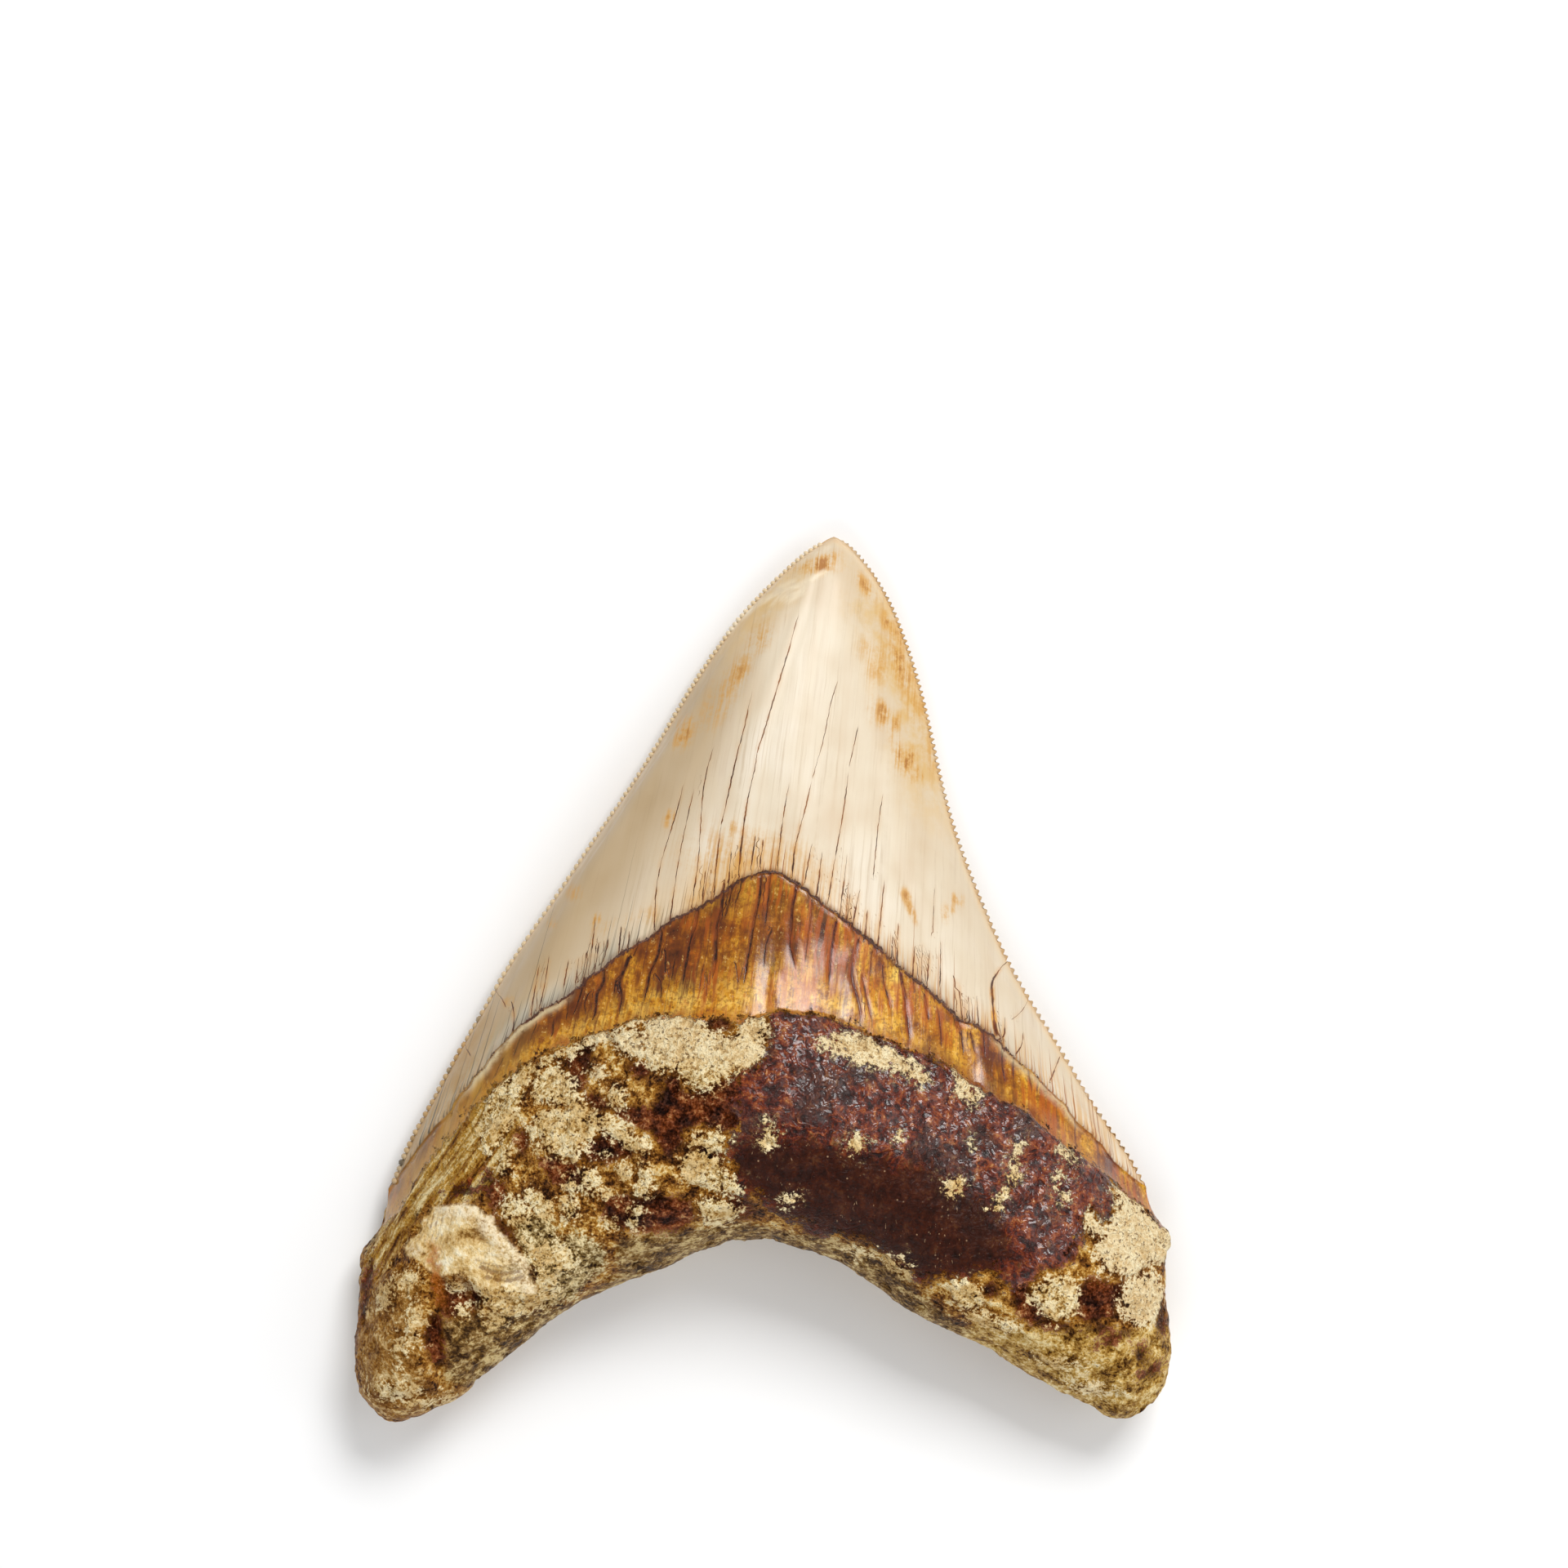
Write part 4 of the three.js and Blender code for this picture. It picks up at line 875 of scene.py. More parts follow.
# painted shade: dark lines in the flake's creases, mostly along the grooves and hollows cut in its relief
shaded_fold = np.maximum.reduce([
    along_line([(598, 1538), (612, 1544), (628, 1546), (644, 1541)], 6),
    along_line([(602, 1549), (618, 1553), (634, 1553), (648, 1547)], 6),
    0.8 * along_line([(594, 1530), (608, 1535), (626, 1537), (640, 1532)], 5),
    0.7 * along_line([(590, 1504), (601, 1506), (610, 1513), (611, 1522)], 5),
    0.8 * along_line([(614, 1482), (624, 1486), (634, 1498), (638, 1506)], 6),
    0.8 * along_line([(550, 1552), (560, 1556), (572, 1556)], 6),
    along_line([(572, 1552), (580, 1560), (582, 1572)], 11),
    0.8 * along_line([(604, 1566), (612, 1574), (606, 1582)], 6),
    0.8 * along_line([(628, 1572), (636, 1580), (632, 1590)], 6),
    0.7 * along_line([(648, 1568), (656, 1578)], 5),
] + [0.6 * along_line([(532 + 6 * k, 1474 + k), (527 + 6 * k, 1492 + k), (520 + 6 * k, 1510 + k)], 4) for k in range(6)])
# painted highlight along the flake's raised top edge and on the round raised spot at its left, over the shell's pale
# colour
crest_highlight = np.maximum(
    along_line([(550, 1470), (580, 1470), (600, 1480), (616, 1498), (632, 1514), (648, 1540), (656, 1570)], 20),
    0.8 * signed_ellipse(517, 1522, 15, 12) / 1.2,
)

# ---------------------------------------------------------------- stains and tints of the enamel, and painted shade on it
STAINS = [  # x, y, radius x, radius y, turn, amount
    (1006, 690, 16, 9, -22, 1.0), (985, 693, 13, 5, -12, 0.55), (1061, 719, 6, 15, -35, 0.75), (1086, 761, 6, 11, 0, 0.7),
    (1097, 775, 10, 30, -28, 0.6), (1104, 815, 10, 36, -18, 0.75), (1120, 850, 14, 40, -16, 0.5), (1076, 812, 12, 22, 12, 0.55),
    (1065, 795, 14, 14, 0, 0.4), (1080, 873, 7, 13, 0, 0.8), (1068, 868, 7, 14, 10, 0.4), (1095, 890, 5, 14, 15, 0.75),
    (1100, 925, 6, 14, 0, 0.7), (1113, 931, 7, 12, 22, 1.05), (1121, 948, 4, 8, 20, 0.9), (1127, 951, 3, 4, 0, 0.8), (1138, 920, 9, 36, -14, 0.4),
    (905, 825, 10, 22, 30, 0.6), (930, 783, 12, 20, 30, 0.5), (882, 858, 14, 34, 30, 0.5), (838, 898, 9, 16, 20, 0.75), (868, 872, 7, 18, 25, 0.45),
    (822, 1001, 5, 9, 20, 0.75), (898, 1012, 6, 8, 0, 0.5), (1108, 1096, 5, 8, -20, 0.7), (1113, 1112, 4, 14, -22, 0.65), (1170, 1102, 8, 8, 0, 0.6),
    (1162, 1112, 9, 5, 0, 0.5), (1156, 1120, 4, 7, 0, 0.5), (733, 1124, 4, 6, 10, 0.9), (678, 1130, 5, 5, 0, 0.6), (705, 1092, 8, 8, 0, 0.5),
    (905, 1045, 60, 30, 0, 0.4), (865, 1090, 30, 22, -25, 0.35), (960, 1048, 42, 24, 0, 0.32), (1010, 1075, 30, 26, 40, 0.22), (1030, 690, 8, 14, 0, 0.25),
    (800, 1120, 14, 12, 0, 0.4), (760, 1130, 26, 9, -20, 0.3), (628, 1225, 6, 5, 0, 0.6), (1203, 1104, 6, 12, -20, 0.35), (1232, 1168, 3, 4, 0, 0.7),
]
stain = np.zeros(len(q))
for x, y, rx, ry, turn, amount in STAINS:
    a = np.radians(turn)
    dx, dy = px - x, py - y
    ex, ey = dx * np.cos(a) + dy * np.sin(a), -dx * np.sin(a) + dy * np.cos(a)
    stain = np.maximum(stain, amount * np.exp(-((ex / rx) ** 2 + (ey / ry) ** 2) * 0.5))
stain = np.where(top, stain, 0.3 * smooth(-0.2, 0.8, fbm(co, 14, 3, 81)))
fan = (1212 + (px - 1212) * 2010 / (py + 910)) * PIXEL
# warm right edge near the tip, painted shade on the grey-tan left flank, yellow halo over the apex, painted cold grey
# shade along the enamel edge's flanks
warm = smooth(640, 760, py) * smooth(1080, 900, py) * smooth(9.0, 1.5, rim) * smooth(1005, 1045, px)
warm = np.maximum(warm, 0.8 * smooth(660, 710, py) * smooth(850, 740, py) * smooth(6.5, 1, rim) * smooth(1010, 985, px))
warm = np.where(top, warm, 0.4 * smooth(5, 0.5, rim))
to_left = smooth(980, 860, px) * smooth(700, 860, py)
# painted shade: the crown is painted darker near its edges, reaching farther in and stronger on its left flank
painted_flank_shade = lerp(0.35 * smooth(9, 2, rim), smooth(15, 3, rim), to_left) * smooth(1.0, 1.06, T)
painted_flank_shade = np.where(top, painted_flank_shade, 0.3)
halo = smooth(6.5, 0, enamel) * np.exp(-(((px - 905) / 110) ** 2)) * top
# painted shade: a cold grey darkening just above the enamel's edge, on the left and the right
painted_edge_shade = smooth(2.6, 0, enamel) * (smooth(800, 740, px) * smooth(580, 650, px) + 0.4 * smooth(1040, 1100, px) * smooth(1320, 1240, px)) * top
golden = smooth(640, 560, px) * smooth(1180, 1260, py) * top
worn_line = np.maximum(
    along_line([(1010, 700), (996, 708), (980, 717), (962, 722), (945, 730), (925, 742), (906, 757), (893, 772)], 5),
    0.8 * along_line([(988, 716), (978, 727), (963, 731), (950, 727), (957, 718), (972, 712)], 5),
)
worn_line = np.maximum(worn_line, 0.6 * along_line([(945, 742), (952, 733), (965, 738), (984, 726)], 4))
edge_line = np.interp(px, [470, 560, 700, 800, 1180, 1240, 1300, 1400], [0.12, 0.2, 0.75, 1.0, 1.0, 0.45, 0.25, 0.12])
edge_line = np.where(top, edge_line, 0.7)

# ---------------------------------------------------------------- serrations of the left cutting edge, rounded nubs set into it
s = np.linspace(0, 1, 3000)
phase = np.concatenate([[0], np.cumsum(left_crown.length / 3000 / np.interp(s, *zip(*SERRATION_LEFT)))])[:-1]
nub_w = np.interp(np.arange(int(phase[-1])) + 0.5, phase, s)
nub_w = nub_w[(nub_w > 0.012) & (nub_w < 0.985)]
nub_pitch = np.interp(nub_w, *zip(*SERRATION_LEFT))
edge_ids = np.where(on_rim & (T >= 1) & (T < 2) & (outline_side[edge_at] == 3))[0]
edge_ids = edge_ids[np.argsort(outline_w[edge_at[edge_ids]])]
nub_z = np.interp(nub_w, outline_w[edge_at[edge_ids]], co[edge_ids, 2]) + 0.4
SEGMENTS, RINGS = 8, 4
lat = np.radians(np.linspace(-62, 62, RINGS))
lon = np.radians(np.arange(SEGMENTS) * 360 / SEGMENTS)
ball = [(0, 0, -1)] + [(np.cos(a) * np.cos(b), np.cos(a) * np.sin(b), np.sin(a)) for a in lat for b in lon] + [(0, 0, 1)]
ball = np.array(ball)
ball_faces = []
for k in range(SEGMENTS):
    k2, top_ring = (k + 1) % SEGMENTS, 1 + (RINGS - 1) * SEGMENTS
    ball_faces.append((0, 1 + k2, 1 + k))
    ball_faces.append((len(ball) - 1, top_ring + k, top_ring + k2))
    for r in range(RINGS - 1):
        a, b = 1 + r * SEGMENTS, 1 + (r + 1) * SEGMENTS
        ball_faces += [(a + k, a + k2, b + k2), (a + k, b + k2, b + k)]
ball_faces = np.array(ball_faces)
spread = random_of(np.arange(len(nub_w)), 5)
reach = random_of(np.arange(len(nub_w)), 6)
outward = left_crown.normal(nub_w)
along = np.column_stack([outward[:, 1], -outward[:, 0]])
mid = left_crown(nub_w) - outward * 0.36
size_a = nub_pitch * (0.49 + 0.09 * spread)
size_b = 0.40 + 0.12 * reach
nubs = np.zeros((len(nub_w), len(ball), 3))
nubs[:, :, :2] = mid[:, None] + along[:, None] * (size_a[:, None] * ball[:, 0])[:, :, None] + outward[:, None] * (size_b[:, None] * ball[:, 1] - NUB_LEAN * ball[:, 2])[:, :, None]
nubs[:, :, 2] = nub_z[:, None] + NUB_RISE * ball[:, 2]
nub_near = edge_ids[np.clip(np.searchsorted(outline_w[edge_at[edge_ids]], nub_w), 0, len(edge_ids) - 1)]
like = np.concatenate([np.arange(len(co)), np.repeat(nub_near, len(ball))])
starts = len(co) + np.arange(len(nub_w)) * len(ball)
faces = np.concatenate([faces, (starts[:, None, None] + ball_faces).reshape(-1, 3)])
co = np.concatenate([co, nubs.reshape(-1, 3)])

# ---------------------------------------------------------------- the mesh
mesh = bpy.data.meshes.new("tooth_surface")
mesh.vertices.add(len(co))
mesh.vertices.foreach_set("co", (co / 1000).ravel())
mesh.loops.add(len(faces) * 3)
mesh.loops.foreach_set("vertex_index", faces.ravel())
mesh.polygons.add(len(faces))
mesh.polygons.foreach_set("loop_start", np.arange(len(faces)) * 3)
mesh.polygons.foreach_set("use_smooth", np.ones(len(faces), bool))
mesh.update(calc_edges=True)
mesh.validate()
for name, values in {
    "enamel": enamel, "neck": neck, "band": band, "fan": fan, "rim": rim, "cream": cream, "maroon": maroon, "core": core,
    "rust": rust, "grey": grey, "shell": shell, "lobe": lobe, "olive": olive, "tan": tan, "streaky": streaky, "crack": crack,
    "crack_strength": crack_strength, "stain": stain, "warm": warm, "painted_flank_shade": painted_flank_shade, "halo": halo, "painted_edge_shade": painted_edge_shade,
    "edge_line": edge_line, "lip": lip, "worn": worn_line,
    "golden": golden, "shaded_fold": shaded_fold, "crest_highlight": crest_highlight,
}.items():
    mesh.attributes.new(name, "FLOAT", "POINT").data.foreach_set("value", np.asarray(values, np.float32)[like])
mesh.attributes.new("nub", "FLOAT", "POINT").data.foreach_set("value", (np.arange(len(co)) >= starts[0]).astype(np.float32))
tooth = bpy.data.objects.new("tooth_surface", mesh)
bpy.context.collection.objects.link(tooth)
print("tooth_surface:", len(co), "vertices,", len(faces), "triangles")


# ---------------------------------------------------------------- material
def srgb(r, g, b):
    return tuple((c / 255 / 12.92 if c / 255 <= 0.04045 else ((c / 255 + 0.055) / 1.055) ** 2.4) for c in (r, g, b)) + (1,)


class Net:
    """Short names for shader nodes."""

    def __init__(self, material):
        self.tree = material.node_tree
        self.at = 0
        self.coords = self.new("ShaderNodeTexCoord").outputs["Object"]

    def new(self, kind):
        n = self.tree.nodes.new(kind)
        n.location = (self.at % 40 * 180, -(self.at // 40) * 260)
        self.at += 1
        return n

    def put(self, socket, value):
        if isinstance(value, bpy.types.NodeSocket):
            self.tree.links.new(value, socket)
        elif value is not None:
            socket.default_value = value

    def attr(self, name):
        n = self.new("ShaderNodeAttribute")
        n.attribute_name = name
        return n.outputs["Fac"]

    def math(self, op, a, b=None, c=None, clamp=False):
        n = self.new("ShaderNodeMath")
        n.operation = op
        n.use_clamp = clamp
        for s, v in zip(n.inputs, (a, b, c)):
            self.put(s, v)
        return n.outputs[0]

    def add(self, a, b, clamp=False):
        return self.math("ADD", a, b, clamp=clamp)

    def mul(self, a, b, clamp=False):
        return self.math("MULTIPLY", a, b, clamp=clamp)

    def mad(self, a, b, c):
        return self.math("MULTIPLY_ADD", a, b, c)

    def inv(self, a):
        return self.math("SUBTRACT", 1.0, a)

    def step(self, x, lo, hi, out_lo=0.0, out_hi=1.0, kind="SMOOTHSTEP"):
        """Smooth step of x from lo to hi (lo may be the larger)."""
        n = self.new("ShaderNodeMapRange")
        n.interpolation_type = kind
        if lo > hi:
            lo, hi, out_lo, out_hi = hi, lo, out_hi, out_lo
        for k, v in (("Value", x), ("From Min", lo), ("From Max", hi), ("To Min", out_lo), ("To Max", out_hi)):
            self.put(n.inputs[k], v)
        return n.outputs["Result"]

    def even(self, x, lo=0.3, hi=0.7):
        return self.step(x, lo, hi, kind="LINEAR")

    def noise(self, size_mm, detail=3.0, rough=0.55, vector=None, distort=0.0, seed=0.0):
        n = self.new("ShaderNodeTexNoise")
        n.noise_dimensions = "3D"
        self.put(n.inputs["Vector"], self.moved(vector or self.coords, seed, 1.0 if vector else 0.001))
        n.inputs["Scale"].default_value = 1000.0 / size_mm if vector is None else 1.0 / size_mm
        n.inputs["Detail"].default_value = detail
        n.inputs["Roughness"].default_value = rough
        n.inputs["Distortion"].default_value = distort
        return n.outputs["Fac"]

    def moved(self, vector, seed, unit):
        n = self.new("ShaderNodeVectorMath")
        n.operation = "ADD"
        self.put(n.inputs[0], vector)
        n.inputs[1].default_value = (seed * 37.1 * unit, seed * 11.7 * unit, seed * 23.3 * unit)
        return n.outputs[0]

    def voronoi(self, size_mm, vector=None, seed=0.0):
        """Distance to the nearest scattered point, and that point's random number."""
        n = self.new("ShaderNodeTexVoronoi")
        self.put(n.inputs["Vector"], self.moved(vector or self.coords, seed, 1.0 if vector else 0.001))
        n.inputs["Scale"].default_value = 1000.0 / size_mm if vector is None else 1.0 / size_mm
        s = self.new("ShaderNodeSeparateColor")
        self.put(s.inputs[0], n.outputs["Color"])
        return n.outputs["Distance"], s.outputs[0]

    def xyz(self, x, y=0.0, z=0.0):
        n = self.new("ShaderNodeCombineXYZ")
        for s, v in zip(n.inputs, (x, y, z)):
            self.put(s, v)
        return n.outputs[0]

    def ramp(self, x, stops):
        n = self.new("ShaderNodeValToRGB")
        self.put(n.inputs["Fac"], x)
        e = n.color_ramp.elements
        while len(e) < len(stops):
            e.new(0.5)
        for el, (at, col) in zip(e, stops):
            el.position = at
        for el, (at, col) in zip(e, stops):
            el.color = col if len(col) == 4 else srgb(*col)
        return n.outputs["Color"]

    def mix(self, fac, a, b, mode="MIX"):
        n = self.new("ShaderNodeMix")
        n.data_type = "RGBA"
        n.blend_type = mode
        n.clamp_factor = True
        self.put(n.inputs["Factor"], fac)
        ins = [s for s in n.inputs if s.type == "RGBA"]
        for s, v in zip(ins, (a, b)):
            self.put(s, v if isinstance(v, bpy.types.NodeSocket) or len(v) == 4 else srgb(*v))
        return next(s for s in n.outputs if s.type == "RGBA")

    def blend(self, fac, a, b):
        n = self.new("ShaderNodeMix")
        n.data_type = "FLOAT"
        self.put(n.inputs["Factor"], fac)
        self.put(n.inputs["A"], a)
        self.put(n.inputs["B"], b)
        return n.outputs["Result"]


mat = bpy.data.materials.new("fossil")
mat.use_nodes = True
mat.node_tree.nodes.clear()
N = Net(mat)
a_enamel, a_neck, a_fan, a_rim = N.attr("enamel"), N.attr("neck"), N.attr("fan"), N.attr("rim")

n_big = N.noise(9, 2, 0.5, seed=1)
n_mid = N.noise(2.4, 4, 0.62, seed=2)
n_grain = N.noise(0.8, 3, 0.7, seed=3)
cell_r = N.voronoi(0.42, seed=4)[1]
sep = N.new("ShaderNodeSeparateXYZ")
N.put(sep.inputs[0], N.coords)
x_mm, y_mm = N.mul(sep.outputs["X"], 1000.0), N.mul(sep.outputs["Y"], 1000.0)
wander = N.mul(N.add(N.noise(4.0, 1, 0.5, seed=5), -0.5), 0.4)
fan_w = N.add(a_fan, wander)
mid01, grain01 = N.even(n_mid, 0.33, 0.67), N.even(n_grain, 0.34, 0.66)
n_fine = N.noise(0.34, 2, 0.6, seed=6)
fine01 = N.even(n_fine, 0.34, 0.66)
# grain noise; its grain and fine noises also raise the bump, so colour drawn from it is lighter on raised grains and
# darker in hollows: painted light and shade over the real grain
grit_and_hollow_shade = N.mad(cell_r, 0.22, N.mad(grain01, 0.46, N.mul(fine01, 0.32)))
edge_n = N.mad(N.add(n_grain, -0.5), 3.4, N.mad(N.add(n_fine, -0.5), 1.6, N.mul(N.add(n_mid, -0.5), 2.6)))  # mm, roughens the borders


def streaks(spacing, stretch, seed, detail=2):
    """Noise drawn out along the tooth, across the fan of its growth lines."""
    return N.noise(spacing, detail, 0.6, vector=N.xyz(fan_w, N.mul(y_mm, stretch), 0.0), seed=seed)


def random_cells(spacing, wiggle, seed):
    """Cells across the fan: place in the cell, and three random numbers."""
    u = N.math("DIVIDE", N.mad(N.add(N.noise(1.8, 2, 0.55, seed=seed), -0.5), wiggle, a_fan), spacing)
    cell = N.math("FLOOR", u)
    w = N.new("ShaderNodeTexWhiteNoise")
    w.noise_dimensions = "2D"
    N.put(w.inputs["Vector"], N.xyz(cell, seed))
    s = N.new("ShaderNodeSeparateColor")
    N.put(s.inputs[0], w.outputs["Color"])
    return N.math("SUBTRACT", u, cell), cell, s.outputs


def fringe(spacing, seed, reach, width, wiggle):
    """Short cracks that start at the enamel's edge: a random one in each cell across, up to its own length."""
    f, cell, (r1, r2, r3) = random_cells(spacing, wiggle, seed)
    off = N.mul(N.math("ABSOLUTE", N.math("SUBTRACT", f, N.mad(r1, 0.6, 0.2))), spacing)
    length = N.mul(N.math("POWER", r2, 2.2), reach)
    left = N.math("DIVIDE", N.math("ABSOLUTE", a_enamel), N.add(length, 0.05))
    thick = N.mul(N.inv(left), width)
    line = N.math("DIVIDE", off, N.math("MAXIMUM", thick, 0.001))
    return N.mul(N.step(line, 1.0, 0.35), N.mul(N.step(left, 1.0, 0.7), N.mad(r3, 0.6, 0.4)))


def neck_cracks(spacing, seed, width, wiggle):
    f, cell, (r1, r2, r3) = random_cells(spacing, wiggle, seed)
    off = N.mul(N.math("ABSOLUTE", N.math("SUBTRACT", f, N.mad(r1, 0.5, 0.25))), spacing)
    gaps = N.noise(7.0, 1, 0.5, vector=N.xyz(N.mul(cell, 7.3), y_mm, seed), seed=seed)
    thick = N.mul(N.step(gaps, 0.45, 0.62), N.mul(N.add(r2, 0.25), width))
    return N.mul(N.step(N.math("DIVIDE", off, N.math("MAXIMUM", thick, 0.001)), 1.0, 0.3), N.mad(r3, 0.5, 0.5))


# enamel
st1, st2, st3 = streaks(1.0, 0.03, 11.0), streaks(0.32, 0.018, 12.0), streaks(3.2, 0.03, 13.0, 1)
en = N.ramp(N.mad(n_big, 0.55, N.mad(st3, 0.25, N.mul(st1, 0.20))), [(0.34, (210, 190, 162)), (0.5, (221, 207, 183)), (0.66, (229, 218, 200))])
# painted shade on the crown's flanks, grey-tan
en = N.mix(N.mul(N.attr("painted_flank_shade"), N.step(n_big, 0.2, 0.8, 0.75, 1.0)), en, (182, 156, 118))
en = N.mix(N.mul(N.attr("warm"), N.step(N.mad(n_mid, 0.5, N.mul(n_big, 0.5)), 0.38, 0.6, 0.15, 0.95)), en, (208, 168, 98))
streak_m = N.step(N.mad(n_big, 0.6, N.mul(n_mid, 0.4)), 0.36, 0.62, 0.15, 1.0)
en = N.mix(N.mul(streak_m, N.step(st1, 0.50, 0.70, 0, 0.30)), en, (192, 168, 134))
en = N.mix(N.mul(streak_m, N.step(st2, 0.54, 0.68, 0, 0.32)), en, (174, 148, 114))
en = N.mix(N.mul(N.step(a_rim, 1.3, 0.1), N.step(n_mid, 0.3, 0.7, 0.3, 0.75)), en, (222, 192, 146))
en = N.mix(N.mul(N.mul(N.step(a_rim, 0.9, 0.1, 0, 0.5), N.step(n_mid, 0.3, 0.6, 0.5, 1.0)), N.inv(N.attr("nub"))), en, (192, 140, 76))
en = N.mix(N.mul(N.attr("nub"), 0.55), en, (230, 208, 168))
en = N.mix(N.mul(N.attr("halo"), N.step(st3, 0.3, 0.7, 0.3, 0.9)), en, (208, 162, 88))
# painted shade just above the enamel's edge
en = N.mix(N.mul(N.attr("painted_edge_shade"), 0.7), en, (140, 138, 126))
en = N.mix(N.mul(N.attr("golden"), N.step(n_mid, 0.34, 0.62, 0.5, 0.9)), en, (176, 136, 78))
stain_n = N.mul(N.attr("stain"), N.step(N.mad(n_mid, 0.32, N.mad(st2, 0.42, N.mul(n_grain, 0.26))), 0.40, 0.60, 0.3, 1.5))
en = N.mix(N.step(stain_n, 0.06, 0.75, 0, 0.85), en, (202, 150, 72))
en = N.mix(N.step(stain_n, 0.55, 1.15, 0, 0.8), en, (158, 98, 40))
en = N.mix(N.mul(N.mul(N.attr("worn"), 0.8), N.step(n_mid, 0.36, 0.6, 0.25, 1.0)), en, (236, 224, 198))
crack_d = N.math("ABSOLUTE", N.mad(N.add(N.noise(0.8, 2, 0.5, seed=21), -0.5), 0.2, N.attr("crack")))
crack_s = N.attr("crack_strength")
crack_w = N.mul(N.mul(N.mad(crack_s, 0.10, 0.02), N.step(N.noise(2.2, 1, 0.5, seed=22), 0.36, 0.62, 0.35, 1.25)), N.step(a_enamel, 6.0, 0.5, 1.0, 1.7))
crack_m = N.mul(N.step(N.math("DIVIDE", crack_d, crack_w), 1.0, 0.3), N.step(crack_s, 0.05, 0.3))
halo_m = N.mul(N.step(crack_d, 0.7, 0.0, 0, 0.8), N.mul(crack_s, N.mul(N.step(n_mid, 0.35, 0.65, 0.3, 1.0), N.step(a_enamel, 9.0, 1.0, 0.35, 1.2))))
en = N.mix(halo_m, en, (204, 144, 58))
fr = N.math("MAXIMUM", fringe(0.95, 31.0, 7.5, 0.13, 0.09), fringe(0.6, 32.0, 3.8, 0.09, 0.05))
fr = N.math("MAXIMUM", fr, N.mul(fringe(2.1, 33.0, 15.0, 0.09, 0.16), 0.8))
en = N.mix(N.mul(N.step(a_enamel, 3.4, 0.0), N.step(st2, 0.42, 0.62, 0.1, 0.75)), en, N.mix(N.step(x_mm, -16, -4), (176, 164, 138), (204, 156, 92)))
en = N.mix(N.mul(fr, 0.9), en, N.mix(N.step(x_mm, -16, -4), (78, 70, 56), (152, 86, 26)))
en = N.mix(crack_m, en, N.mix(N.step(a_enamel, 4.5, 0.5), N.mix(N.step(n_mid, 0.38, 0.6), (72, 36, 10), (142, 82, 26)), N.mix(N.step(n_mid, 0.38, 0.6), (62, 24, 6), (112, 52, 12))))
en_m = N.step(a_enamel, -0.05, 0.05)

# neck band
ns1, ns2, ns3 = streaks(1.8, 0.16, 41.0, 3), streaks(0.5, 0.10, 42.0), streaks(4.5, 0.12, 43.0, 1)
a_band = N.attr("band")
nk_up = N.ramp(N.mad(ns1, 0.4, N.mad(n_mid, 0.35, N.mul(ns3, 0.25))), [(0.38, (52, 18, 1)), (0.46, (108, 52, 3)), (0.54, (158, 92, 7)), (0.62, (214, 154, 38))])
nk_right = N.ramp(N.mad(ns1, 0.45, N.mad(n_mid, 0.3, N.mul(ns3, 0.25))), [(0.39, (94, 38, 6)), (0.46, (160, 92, 10)), (0.54, (208, 148, 28)), (0.62, (242, 198, 84))])
nk_low = N.ramp(N.mad(ns2, 0.4, N.mul(n_mid, 0.6)), [(0.38, (142, 78, 6)), (0.46, (204, 142, 28)), (0.57, (246, 202, 96))])
nk = N.mix(N.step(x_mm, 6, 14), nk_up, nk_right)
low_m = N.step(N.mad(N.add(ns2, -0.5), 0.9, N.mad(N.add(n_mid, -0.5), 0.9, a_band)), 0.58, 0.12)
nk = N.mix(N.mul(low_m, N.step(x_mm, 24, 10, 0.3, 1.0)), nk, nk_low)
apex = N.mul(N.step(y_mm, 6.5, 10.5), N.step(n_mid, 0.36, 0.6, 0.35, 0.9))
nk = N.mix(apex, nk, N.mix(mid01, (122, 80, 10), (196, 142, 40)))
nk = N.mix(N.step(n_mid, 0.56, 0.68, 0, 0.45), nk, N.mix(N.step(x_mm, -5, 8), (176, 84, 10), (170, 92, 36)))
nk = N.mix(N.step(ns2, 0.54, 0.66, 0, 0.5), nk, (88, 40, 8))
nk = N.mix(N.mul(N.step(grit_and_hollow_shade, 0.62, 0.85, 0, 0.5), N.step(ns2, 0.5, 0.42)), nk, (240, 200, 120))
nc = N.math("MAXIMUM", neck_cracks(2.1, 51.0, 0.16, 0.4), N.mul(neck_cracks(0.9, 52.0, 0.10, 0.2), 0.85))
nk = N.mix(N.mul(nc, N.step(a_band, 0.12, 0.5, 0.25, 0.8)), nk, N.mix(n_grain, (60, 26, 14), (112, 48, 26)))
seam_soft = N.mul(N.step(crack_d, 0.62, 0.05, 0, 1.15), N.add(crack_s, 0.1))
nk = N.mix(N.mul(seam_soft, N.step(n_grain, 0.35, 0.6, 0.6, 1.0)), nk, N.mix(N.step(x_mm, 0, 8), (110, 50, 8), (118, 44, 26)))
seam_m = N.mul(N.step(N.math("DIVIDE", crack_d, N.mul(N.mad(crack_s, 0.19, 0.02), N.step(n_mid, 0.34, 0.62, 0.5, 1.3))), 1.0, 0.25), N.step(crack_s, 0.05, 0.3))
nk = N.mix(N.mul(seam_m, N.step(n_grain, 0.35, 0.6, 0.6, 1.0)), nk, N.mix(N.step(x_mm, 0, 8), (46, 18, 3), (70, 22, 14)))
nk = N.mix(N.step(grit_and_hollow_shade, 0.54, 0.30, 0, 0.5), nk, (96, 46, 6))
nk = N.mix(N.mul(N.step(n_big, 0.46, 0.60, 0, 0.5), N.step(ns2, 0.44, 0.56)), nk, (190, 92, 14))
